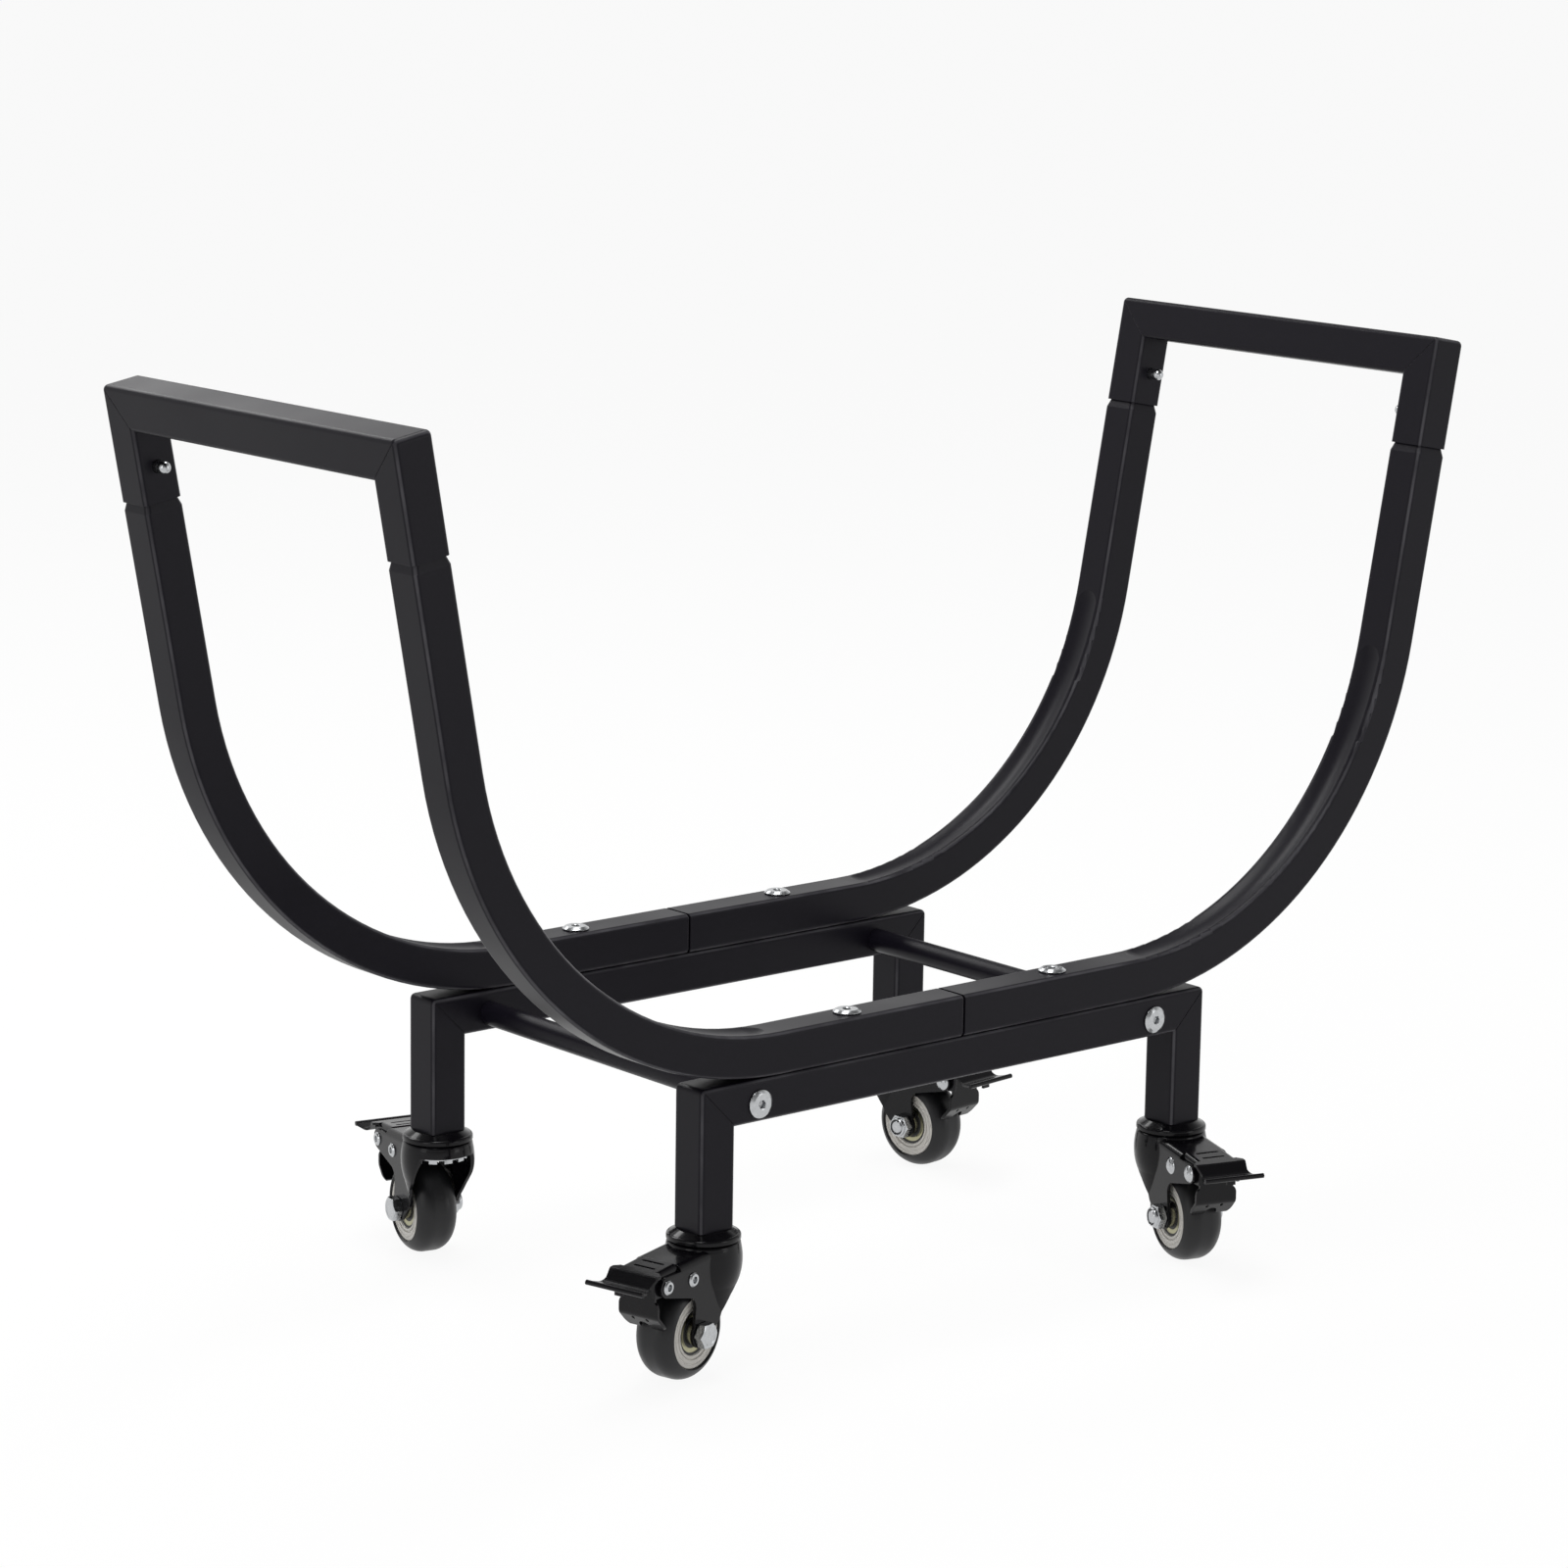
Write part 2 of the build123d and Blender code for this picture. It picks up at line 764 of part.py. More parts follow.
def skirt_section(inset):
    """Half section of the fork's drum and skirt, drawn in by inset."""
    outer = crown_radius - inset
    bulge = (crown_radius + skirt_bulge - inset, skirt_bulge_height)
    waist = (skirt_waist_diameter / 2 - inset, skirt_waist_height)
    foot = (fork_outer - inset, skirt_foot)
    if inset == 0:
        drum_top = (outer, crown_top - crown_rounding)
        Line((0, crown_top), (outer - crown_rounding, crown_top))
        RadiusArc((outer - crown_rounding, crown_top), drum_top, crown_rounding)
        Line((0, skirt_foot), (0, crown_top))
    else:
        drum_top = (outer, crown_under)
        Line((0, crown_under), drum_top)
        Line((0, skirt_foot), (0, crown_under))
    ThreePointArc(drum_top, bulge, waist)
    Line(waist, foot)
    Line(foot, (0, skirt_foot))


def cheek_outline():
    """Side view of the fork from its leading edge round the boss to the brake arm."""
    hub = (axle_offset, wheel_radius)
    front = -crown_radius - 2
    above = crown_top + 1

    def round_point(centre, radius, angle):
        return (centre[0] + radius * cos(radians(angle)), centre[1] + radius * sin(radians(angle)))

    boss_front = round_point(hub, boss_radius, 180 + boss_front_angle)
    boss_rear = round_point(hub, boss_radius, boss_rear_angle)
    boss_low = round_point(hub, boss_radius, -90)
    arm_low = round_point(pedal_pivot, arm_end_radius, -arm_low_angle)
    arm_end = round_point(pedal_pivot, arm_end_radius, 0)
    Polyline(
        (front, above),
        (front, arch_top),
        (arch_corner[0] - 1, arch_top),
        arch_corner,
    )
    ThreePointArc(arch_corner, lead_bow, lead_knee)
    Line(lead_knee, lead_foot)
    Line(lead_foot, boss_front)
    ThreePointArc(boss_front, boss_low, boss_rear)
    Line(boss_rear, notch_low)
    RadiusArc(notch_low, notch_top, notch_radius)
    Line(notch_top, arm_low)
    ThreePointArc(arm_low, arm_end, (pedal_pivot[0], arm_top))
    Polyline(
        (pedal_pivot[0], arm_top),
        (roof_rear[0], arm_top),
        (roof_rear[0], above),
        (front, above),
    )


def roof_block(planes, half_width, drop, fold):
    """Block that reaches from the ground to the fork's sloping roof, or to a drop below it."""
    reach = pedal_pivot[0] + 2 * arm_end_radius
    slope = (roof_rear[1] - roof_front_height) / roof_rear[0]
    top = roof_front_height - drop
    with BuildPart() as block:
        with BuildSketch(planes.side):
            with BuildLine():
                Polyline((0, 0), (0, top), (reach, top + slope * reach), (reach, 0), close=True)
            make_face()
        extrude(amount=half_width, both=True)
        long_edges = block.edges().filter_by(lambda edge: abs((edge % 0.5).dot(planes.trail)) > 0.9)
        fillet(long_edges.sort_by(Axis.Z)[-2:], radius=fold)
    return block.part


def fork(planes):
    """Pressed fork: drum and skirt, two cheeks, a folded roof and an arm on each side."""
    with BuildPart() as piece:
        with BuildSketch(planes.section):
            with BuildLine():
                skirt_section(0)
            make_face()
        revolve(axis=planes.swivel_axis)
        add(roof_block(planes, fork_outer, 0, roof_fold))
        with BuildSketch(planes.side):
            with BuildLine():
                cheek_outline()
            make_face()
        extrude(amount=2 * crown_radius, both=True, mode=Mode.INTERSECT)
        # Inside of the drum, then the room between the cheeks
        with BuildSketch(planes.section):
            with BuildLine():
                skirt_section(fork_wall)
            make_face()
        revolve(axis=planes.swivel_axis, mode=Mode.SUBTRACT)
        add(roof_block(planes, fork_inner, fork_wall, roof_fold - fork_wall), mode=Mode.SUBTRACT)
        # Behind the roof the arms stand free, flat on their inner faces
        with BuildSketch(planes.side):
            with Locations((roof_rear[0] + pedal_pivot[0], crown_top / 2)):
                Rectangle(2 * pedal_pivot[0], crown_top)
        extrude(amount=fork_inner, both=True, mode=Mode.SUBTRACT)
        # Swivel, axle and rivet holes
        with BuildSketch(planes.plan.offset(crown_top)):
            Circle(stem_neck_radius + swivel_clearance)
        extrude(amount=-2 * crown_thickness, mode=Mode.SUBTRACT)
        with BuildSketch(planes.side):
            with Locations((axle_offset, wheel_radius)):
                Circle(axle_radius + axle_hole_clearance)
            with Locations(pedal_pivot, plate_pivot):
                Circle(rivet_radius)
        extrude(amount=2 * crown_radius, both=True, mode=Mode.SUBTRACT)
    return piece


def mirrored_section(points):
    """Closed outline from the right half of a section, mirrored about the wheel's middle."""
    Polyline(*points)
    Polyline(*[(-width, radius) for width, radius in points])


def tread(planes):
    shoulder_w = tread_width / 2 - tread_shoulder
    shoulder_r = wheel_radius - tread_shoulder
    core_radius = core_diameter / 2
    rise = core_radius + core_bead - shoulder_r
    edge_w = shoulder_w + sqrt(tread_shoulder**2 - rise**2)
    middle = radians(50)
    arc_middle = (shoulder_w + tread_shoulder * cos(middle), shoulder_r + tread_shoulder * sin(middle))
    neck_w = core_face - core_flange
    with BuildPart() as piece:
        with BuildSketch(planes.hub_section):
            with BuildLine():
                for way in (1, -1):
                    Line((0, wheel_radius), (way * shoulder_w, wheel_radius))
                    ThreePointArc(
                        (way * shoulder_w, wheel_radius),
                        (way * arc_middle[0], arc_middle[1]),
                        (way * edge_w, core_radius + core_bead),
                    )
                    Polyline(
                        (way * edge_w, core_radius + core_bead),
                        (way * (core_face + 0.2), core_radius),
                        (way * neck_w, core_radius),
                        (way * neck_w, core_seat_diameter / 2),
                        (0, core_seat_diameter / 2),
                    )
            make_face()
        revolve(axis=planes.hub_axis)
    return piece


def wheel_core(planes):
    """Hub disc with two turned grooves on each face and a seat for each bearing."""
    outer = core_diameter / 2
    seat = core_seat_diameter / 2
    bearing = bearing_diameter / 2
    neck_w = core_face - core_flange
    with BuildPart() as piece:
        with BuildSketch(planes.hub_section):
            with BuildLine():
                mirrored_section([
                    (0, seat),
                    (neck_w, seat),
                    (neck_w, outer),
                    (core_face - 0.3, outer),
                    (core_face, outer - 0.3),
                    (core_face, outer - 1.7),
                    (core_face - 0.3, outer - 2.0),
                    (core_face - 0.3, outer - 2.4),
                    (core_face, outer - 2.7),
                    (core_face, outer - 4.3),
                    (core_face - 0.8, outer - 4.6),
                    (core_face - 0.8, outer - 5.0),
                    (core_face - 0.2, outer - 5.3),
                    (core_face - 0.2, outer - 6.4),
                    (core_face - 0.9, outer - 6.7),
                    (core_face - 0.9, bearing),
                    (bearing_back, bearing),
                    (bearing_back, bearing - 1.5),
                    (0, bearing - 1.5),
                ])
            make_face()
        revolve(axis=planes.hub_axis)
    return piece


def wheel_bearings(planes):
    """Two ball bearings, each one solid, whose inner rings reach from cheek to middle."""
    bore_radius = axle_radius + running_clearance
    inner = inner_ring_diameter / 2
    outer = bearing_diameter / 2
    with BuildPart() as piece:
        with BuildSketch(planes.hub_section):
            for way in (1, -1):
                with BuildLine():
                    Polyline(
                        [
                            (way * width, radius)
                            for width, radius in (
                                (inner_ring_gap, bore_radius),
                                (inner_ring_gap, inner),
                                (bearing_back, inner),
                                (bearing_back, outer),
                                (bearing_face, outer),
                                (bearing_face, seal_outer),
                                (bearing_face - seal_depth, seal_outer),
                                (bearing_face - seal_depth, seal_inner),
                                (bearing_face, seal_inner),
                                (bearing_face, inner),
                                (fork_inner - inner_ring_gap, inner),
                                (fork_inner - inner_ring_gap, bore_radius),
                            )
                        ],
                        close=True,
                    )
                make_face()
        revolve(axis=planes.hub_axis)
    return piece


def hexagon(planes, start, height, bevel_start):
    """Hexagon prism about the axle, its corners turned off at one end or both."""
    corner = hex_width / sqrt(3)
    flat = hex_width / 2
    cut = 0.58 * (corner - flat)
    base = planes.hub_section.origin + planes.axle * start
    with BuildPart() as prism:
        with BuildSketch(Plane(base, x_dir=planes.trail, z_dir=planes.axle)):
            RegularPolygon(flat, 6, major_radius=False)
        extrude(amount=height)
        with BuildSketch(planes.hub_section):
            with BuildLine():
                Polyline(
                    (start, 0),
                    (start, flat if bevel_start else corner),
                    (start + cut, corner),
                    (start + height - cut, corner),
                    (start + height, flat),
                    (start + height, 0),
                    close=True,
                )
            make_face()
        revolve(axis=planes.hub_axis, mode=Mode.INTERSECT)
    return prism.part


def axle_bolt(planes):
    end = -fork_outer - hex_nut_height - nut_collar_height + axle_end_inset
    with BuildPart() as piece:
        add(hexagon(planes, fork_outer, hex_head_height, False))
        with BuildSketch(planes.hub_section):
            with BuildLine():
                Polyline(
                    (fork_outer, 0),
                    (fork_outer, axle_radius),
                    (end + axle_end_bevel, axle_radius),
                    (end, axle_radius - axle_end_bevel),
                    (end, 0),
                    close=True,
                )
            make_face()
        revolve(axis=planes.hub_axis)
    return piece


def axle_nut(planes):
    """Hexagon nut with a round locking collar on its outer face."""
    face = -fork_outer - hex_nut_height
    end = face - nut_collar_height
    collar = nut_collar_diameter / 2
    rounding = nut_collar_rounding
    with BuildPart() as piece:
        add(hexagon(planes, face, hex_nut_height, True))
        with BuildSketch(planes.hub_section):
            with BuildLine():
                Polyline(
                    (end, collar - rounding),
                    (end, 0),
                    (face + 1, 0),
                    (face + 1, collar),
                    (end + rounding, collar),
                )
                RadiusArc((end + rounding, collar), (end, collar - rounding), -rounding)
            make_face()
        revolve(axis=planes.hub_axis)
        with BuildSketch(planes.side.offset(fork_outer - 1)):
            with Locations((axle_offset, wheel_radius)):
                Circle(axle_radius)
        extrude(amount=hex_nut_height + nut_collar_height + 2, mode=Mode.SUBTRACT)
    return piece


def rivet_section():
    """Half section: an open eyelet head on one side and a wide domed head on the other."""
    head = rivet_head_diameter / 2
    eye = rivet_eye_diameter / 2
    face = fork_outer + rivet_head_height
    dome = -fork_outer - rivet_dome_height
    dome_edge = rivet_dome_diameter / 2
    dome_radius = (dome_edge**2 + rivet_dome_height**2) / (2 * rivet_dome_height)
    Polyline(
        (dome, 0),
        (face - rivet_eye_depth, 0),
        (face - rivet_eye_depth, eye),
        (face, eye + 0.3),
        (face, head - 0.8),
        (fork_outer + 0.5, head),
        (fork_outer, head),
        (fork_outer, rivet_radius),
        (-fork_outer, rivet_radius),
        (-fork_outer, dome_edge),
    )
    RadiusArc((-fork_outer, dome_edge), (dome, 0), -dome_radius)


def brake_rivets(planes):
    with BuildPart() as piece:
        for pivot in (pedal_pivot, plate_pivot):
            centre = planes.point(*pivot)
            with BuildSketch(Plane(centre, x_dir=planes.axle, z_dir=planes.trail)):
                with BuildLine():
                    rivet_section()
                make_face()
            revolve(axis=Axis(centre, planes.axle))
    return piece


def brake_pedal(planes):
    """Channel-shaped pedal with an ear inside each fork arm and a flared lip."""
    slope = atan2(pedal_rear[1] - pedal_front[1], pedal_rear[0] - pedal_front[0])
    length = (pedal_rear[0] - pedal_front[0]) / cos(slope)
    along = planes.trail * cos(slope) + Vector(0, 0, sin(slope))
    channel = Plane(planes.point(*pedal_front), x_dir=planes.axle, z_dir=along)
    ear = pedal_ear_radius
    pivot = pedal_pivot
    with BuildPart() as piece:
        with BuildSketch(channel) as profile:
            with Locations((0, -pedal_side_depth)):
                Rectangle(2 * ear_outer, 2 * pedal_side_depth)
            fillet(profile.vertices().group_by(Axis.Y)[-1], radius=pedal_shoulder)
            with Locations((0, -pedal_side_depth - pedal_sheet)):
                Rectangle(2 * ear_inner, 2 * pedal_side_depth, mode=Mode.SUBTRACT)
            inner_top = profile.vertices().filter_by(
                lambda vertex: abs(vertex.Y + pedal_sheet) < 0.01 and abs(vertex.X) < ear_inner + 0.01
            )
            fillet(inner_top, radius=pedal_shoulder - pedal_sheet)
        extrude(amount=length)
        # The sides stay as a turned-down edge, the ear and a flange behind it
        front = pedal_front[0] - 2
        above = pedal_front[1] + 2
        with BuildSketch(planes.side):
            with BuildLine():
                Polyline(
                    (front, above),
                    (front, pedal_flange_front),
                    (pedal_front[0] + 1, pedal_flange_front),
                    (pivot[0] - ear, pivot[1] + ear / 2),
                    (pivot[0] - ear, pivot[1]),
                )
                RadiusArc((pivot[0] - ear, pivot[1]), (pivot[0], pivot[1] - ear), -ear)
                Polyline(
                    (pivot[0], pivot[1] - ear),
                    (pedal_rear[0] - 1.5, pedal_flange_foot),
                    (pedal_rear[0], pedal_flange_foot + 1.5),
                    (pedal_rear[0] + 1, above),
                    (front, above),
                )
            make_face()
        extrude(amount=2 * ear_outer, both=True, mode=Mode.INTERSECT)
        # Lip, drawn as a bent strip that starts inside the channel's top
        drop = pedal_sheet / 2
        lip_start_z = pedal_rear[1] + tan(slope) * (pedal_lip_start - pedal_rear[0])
        with BuildSketch(planes.side):
            with BuildLine():
                FilletPolyline(
                    (pedal_lip_start, lip_start_z - drop),
                    (pedal_rear[0], pedal_rear[1] - drop),
                    pedal_lip_low,
                    pedal_lip_tip,
                    radius=(2.5, 5.0),
                )
            trace(line_width=pedal_sheet)
        extrude(amount=pedal_tip_width / 2, both=True)
        with BuildSketch(planes.side):
            with Locations(pedal_lip_tip):
                Circle(pedal_tip_radius)
        extrude(amount=pedal_tip_width / 2, both=True)
        with BuildSketch(planes.side):
            with Locations((pedal_lip_tip[0] - 3.6, pedal_lip_low[1] - pedal_nib_drop / 2 + 0.4)):
                Rectangle(pedal_sheet, pedal_nib_drop)
        extrude(amount=pedal_nib_width / 2, both=True)
        # Plan view: straight between the arms, a hump behind them, a flare at the lip
        tip = pedal_tip_width / 2
        tip_s = pedal_lip_tip[0] + pedal_tip_radius
        hump = pedal_hump_width / 2
        with BuildSketch(planes.plan.offset(pivot[1] - 2 * ear)):
            with BuildLine():
                for way in (1, -1):
                    Polyline(
                        (pedal_front[0] - 1, 0),
                        (pedal_front[0] - 1, way * ear_outer),
                        (pedal_lip_start + 0.5, way * ear_outer),
                        (pedal_lip_start + 2.5, way * hump),
                        (pedal_rear[0], way * hump),
                        (pedal_lip_low[0] - 2, way * pedal_waist_width / 2),
                        (tip_s - 2, way * tip),
                        (tip_s + 1, way * tip),
                        (tip_s + 1, 0),
                    )
            make_face()
        extrude(amount=8 * ear, mode=Mode.INTERSECT)
        # Two pressed slots and the pivot holes
        with BuildSketch(planes.plan.offset(pivot[1] + 2)):
            with Locations(*[(place, 0) for place in pedal_slots]):
                SlotOverall(pedal_slot_length, pedal_slot_width, rotation=90)
        extrude(amount=4 * ear, mode=Mode.SUBTRACT)
        with BuildSketch(planes.side):
            with Locations(pivot):
                Circle(rivet_radius + running_clearance)
        extrude(amount=2 * ear_outer, both=True, mode=Mode.SUBTRACT)
    return piece


def plate_web(planes, lug_outer):
    """Tongue and web of the brake plate, wide at the lugs."""
    web_half = web_width / 2
    tongue_half = tongue_width / 2
    web_end = shoe_back - 4 * plate_sheet
    with BuildPart() as web:
        with BuildSketch(planes.side):
            with BuildLine():
                FilletPolyline(
                    (tongue_front, tongue_height),
                    (web_start - 4, tongue_height),
                    (web_start, web_height),
                    (web_end, web_height),
                    radius=(1.5, 1.5),
                )
            trace(line_width=plate_sheet)
        extrude(amount=lug_outer, both=True)
        with BuildSketch(planes.plan):
            with BuildLine():
                for way in (1, -1):
                    Polyline(
                        (0, 0),
                        (0, way * tongue_half),
                        (web_start - 4, way * tongue_half),
                        (plate_pivot[0] - lug_radius + 2, way * lug_outer),
                        (plate_pivot[0] + lug_radius, way * lug_outer),
                        (plate_pivot[0] + lug_radius + 2, way * web_half),
                        (shoe_back, way * web_half),
                        (shoe_back, 0),
                    )
            make_face()
        extrude(amount=crown_top, mode=Mode.INTERSECT)
    return web.part


def plate_shoe(planes):
    """Shoe of the brake plate: narrow at its bend, wide and round-cornered below."""
    web_end = shoe_back - 4 * plate_sheet
    foot = shoe_edge[1] - plate_sheet
    with BuildPart() as shoe:
        with BuildSketch(planes.side):
            with BuildLine():
                FilletPolyline(
                    (web_end - 1, web_height),
                    (shoe_back, web_height),
                    (shoe_back, shoe_knee),
                    shoe_edge,
                    radius=(3.0, 3.0),
                )
            trace(line_width=plate_sheet)
        extrude(amount=shoe_width / 2, both=True)
        with BuildSketch(planes.section):
            with Locations((0, (foot + shoe_shoulder) / 2)):
                RectangleRounded(shoe_width, shoe_shoulder - foot, shoe_corner)
            with Locations((0, (foot + crown_top) / 2)):
                Rectangle(web_width, crown_top - foot - 2 * shoe_corner)
        extrude(amount=2 * shoe_back, mode=Mode.INTERSECT)
    return shoe.part


def brake_plate(planes):
    """Bent plate on the second rivet: tongue in front, web, lugs and the shoe behind."""
    lug_outer = fork_inner - lug_gap
    lug_inner = lug_outer - plate_sheet
    with BuildPart() as piece:
        add(plate_web(planes, lug_outer))
        add(plate_shoe(planes))
        # Side lugs round the rivet
        for way in (1, -1):
            with BuildSketch(planes.side.offset(way * lug_inner)):
                with Locations(plate_pivot):
                    Circle(lug_radius)
                with Locations((plate_pivot[0], (plate_pivot[1] + web_height) / 2)):
                    Rectangle(2 * lug_radius, web_height - plate_pivot[1])
            extrude(amount=way * plate_sheet)
        with BuildSketch(planes.side):
            with Locations(plate_pivot):
                Circle(rivet_radius + running_clearance)
        extrude(amount=2 * lug_outer, both=True, mode=Mode.SUBTRACT)
        # Notch between the shoe's two lobes, and two small holes above it
        with BuildSketch(planes.section.offset(shoe_edge[0] - 4)):
            with Locations((0, shoe_notch_top - shoe_notch_width)):
                SlotOverall(2 * shoe_notch_width, shoe_notch_width, rotation=90)
            with Locations((0, shoe_hole_height)):
                with GridLocations(shoe_hole_spacing, 1, 2, 1):
                    Circle(shoe_hole_diameter / 2)
        extrude(amount=20, mode=Mode.SUBTRACT)
    return piece


os.makedirs("parts", exist_ok=True)

for row_name, row in rows:
    write(base_frame(row), f"{row_name}_base_frame")
    for side_name, side in sides:
        write(arm(row, side, side < 0), f"{row_name}_{side_name}_arm")
        write(snap_button(row, side), f"{row_name}_{side_name}_snap_button")
for side_name, side in sides:
    write(cross_tube(side), f"{side_name}_cross_tube")
    write(end_frame(side), f"{side_name}_end_frame")

write(cross_inserts(), "cross_tube_inserts")
write(cross_bolts(), "cross_tube_bolts")
write(arm_bolts(), "arm_bolts")
write(arm_nuts(), "arm_nuts")
write(snap_springs(), "snap_springs")
write(leg_inserts(), "leg_inserts")
write(turned_at_casters(stem_section), "caster_stems")
write(turned_at_casters(cap_section), "caster_caps")
write(swivel_balls(), "swivel_balls")
write(lock_rings(), "swivel_lock_rings")

for caster_name, side, row, trail_angle in casters:
    planes = CasterPlanes(side, row, trail_angle)
    write(fork(planes), f"{caster_name}_fork")
    write(tread(planes), f"{caster_name}_tread")
    write(wheel_core(planes), f"{caster_name}_wheel_core")
    write(wheel_bearings(planes), f"{caster_name}_wheel_bearings")
    write(axle_bolt(planes), f"{caster_name}_axle_bolt")
    write(axle_nut(planes), f"{caster_name}_axle_nut")
    write(brake_rivets(planes), f"{caster_name}_brake_rivets")
    write(brake_pedal(planes), f"{caster_name}_brake_pedal")
    write(brake_plate(planes), f"{caster_name}_brake_plate")
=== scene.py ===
import json
from math import atan2, copysign, cos, pi, radians, sin, sqrt, tan, tau

import bmesh
import bpy
from mathutils import Matrix, Vector


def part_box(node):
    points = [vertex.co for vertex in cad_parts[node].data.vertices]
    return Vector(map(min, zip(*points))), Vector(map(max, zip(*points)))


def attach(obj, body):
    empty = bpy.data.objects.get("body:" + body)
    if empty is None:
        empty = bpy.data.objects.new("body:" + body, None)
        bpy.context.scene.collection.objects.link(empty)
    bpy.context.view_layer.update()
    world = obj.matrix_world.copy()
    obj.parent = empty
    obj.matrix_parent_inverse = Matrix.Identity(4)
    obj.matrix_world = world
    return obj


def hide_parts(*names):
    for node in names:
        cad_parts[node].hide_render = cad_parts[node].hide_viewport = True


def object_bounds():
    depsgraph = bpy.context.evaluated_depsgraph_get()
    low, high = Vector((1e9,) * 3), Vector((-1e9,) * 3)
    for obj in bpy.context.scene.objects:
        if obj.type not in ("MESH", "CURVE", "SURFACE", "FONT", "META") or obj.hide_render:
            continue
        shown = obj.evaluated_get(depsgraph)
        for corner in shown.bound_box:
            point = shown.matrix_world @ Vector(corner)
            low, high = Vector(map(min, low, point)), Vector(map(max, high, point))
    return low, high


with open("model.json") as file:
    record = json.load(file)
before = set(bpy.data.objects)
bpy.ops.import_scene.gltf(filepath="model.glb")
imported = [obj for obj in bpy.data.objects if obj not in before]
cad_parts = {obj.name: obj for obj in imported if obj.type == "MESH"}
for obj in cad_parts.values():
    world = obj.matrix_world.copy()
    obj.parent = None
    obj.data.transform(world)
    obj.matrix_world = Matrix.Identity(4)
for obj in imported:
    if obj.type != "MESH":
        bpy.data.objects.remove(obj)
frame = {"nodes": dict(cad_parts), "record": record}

# Finishes, detailed hardware and a plain studio for a firewood rack of square
# steel tube on four braked swivel casters. Lengths are in metres, and outlines
# of turned pieces are in millimetres.

bl_info = {
    "name": "Firewood Rack",
    "version": (1, 1, 0),
    "blender": (4, 5, 0),
    "location": "3D View > Sidebar > Rack",
    "description": "Dresses the firewood rack and sets up its studio",
    "category": "Object",
}

CAD_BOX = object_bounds()
MILLIMETRE = 0.001
CASTERS = ("front_left", "front_right", "rear_left", "rear_right")
JOINTS = {joint["name"]: joint for joint in frame["record"]["behaviour"]["joints"]}

# Edges of new pieces that are sharper than this stay sharp
SHARP_ANGLE = radians(32)
# Slope of the chamfers on hexagon heads and nuts
CHAMFER_ANGLE = radians(30)
# How near a point of a spun outline lies to its ring, in millimetres
RING_TOLERANCE = 0.002
# Distance from a wheel's middle to the outside of its fork, in millimetres
FORK_FACE = 14.4

SENSOR_WIDTH = 36
# Half of the floor's side, so large that its end shows only faintly, in views from near the ground
FLOOR_REACH = 60
# Share of the floor that is plain white to the camera. The rest shows the rack's shadow
FLOOR_WHITE = 0.92
# Each lamp's place, width, height and the property with its power, all aimed at the rack's middle
LAMPS = {
    "key_lamp": ((-0.1, 0.15, 2.1), 2.2, 0.5, "key_power"),
    "back_lamp": ((-0.1, 1.9, 1.75), 1.6, 0.5, "back_power"),
    "left_lamp": ((-2.4, -0.2, 1.1), 0.8, 1.6, "side_power"),
    "right_lamp": ((1.2, -2.4, 1.0), 0.8, 1.6, "side_power"),
}


def linear(hex_colour):
    """Linear red, green and blue of an sRGB colour written as RRGGBB."""
    channels = [int(hex_colour[place : place + 2], 16) / 255 for place in (0, 2, 4)]
    return tuple(c / 12.92 if c <= 0.04045 else ((c + 0.055) / 1.055) ** 2.4 for c in channels)


def per_metre(size_mm):
    """Texture scale at which one cell of a pattern is size_mm across."""
    return 1 / (size_mm * MILLIMETRE)


def colour_property(name, description, hex_colour):
    """A colour that the user can change, from its hex value."""
    return bpy.props.FloatVectorProperty(
        name=name, description=description, subtype="COLOR", size=3, min=0, max=1, default=linear(hex_colour)
    )


def length_property(name, description, size_mm):
    """A length that the user can change, from its size in millimetres."""
    return bpy.props.FloatProperty(
        name=name, description=description, unit="LENGTH", precision=4, min=0, default=size_mm * MILLIMETRE
    )


class RackFinishes(bpy.types.PropertyGroup):
    """Colours of the rack's finishes."""

    powder: colour_property("Powder coat", "Body colour of the tube frames", "110F16")
    # Painted highlight: the paler colour painted along the tubes' long corners, in place of the light they catch
    corner_highlight: colour_property("Thin powder", "Colour of the powder coat along sharp corners", "4A494D")
    enamel: colour_property("Caster enamel", "Colour of forks, pedals and caps", "09080B")
    zinc: colour_property("Zinc plate", "Colour of bolts, nuts, rivets and buttons", "BCBEC0")
    tread: colour_property("Tread", "Colour of the wheel treads", "151517")
    core: colour_property("Wheel core", "Colour of the grooved wheel cores", "C2BFB9")
    bearing: colour_property("Bearing", "Colour of the bearings' ground rings", "A9A8A2")
    shield: colour_property("Bearing shield", "Colour of the bearings' plated shields", "A8A588")
    seal: colour_property("Seal", "Colour of the bearings' seals and the nuts' inserts", "19191A")


class RackHardware(bpy.types.PropertyGroup):
    """Sizes of the bolts, nuts and bearings."""

    bolt_width: length_property("Bolt", "Diameter of the frame bolts", 6.0)
    head_width: length_property("Bolt head", "Diameter of the frame bolts' heads", 14.7)
    head_height: length_property("Head height", "Height of the frame bolts' heads", 2.0)
    socket_width: length_property("Socket", "Width across flats of the heads' sockets", 4.0)
    socket_depth: length_property("Socket depth", "Depth of the heads' sockets", 2.6)
    hex_width: length_property("Hexagon", "Width across flats of axle bolt and nut", 12.0)
    axle_width: length_property("Axle", "Diameter of the axle bolts", 8.0)
    cross_bolt_length: length_property("Cross tube bolt", "Whole length of the cross tubes' bolts", 38.0)
    ring_width: length_property("Inner ring", "Diameter of the bearings' inner rings", 12.4)
    bearing_width: length_property("Bearing", "Diameter of the bearings", 22.0)


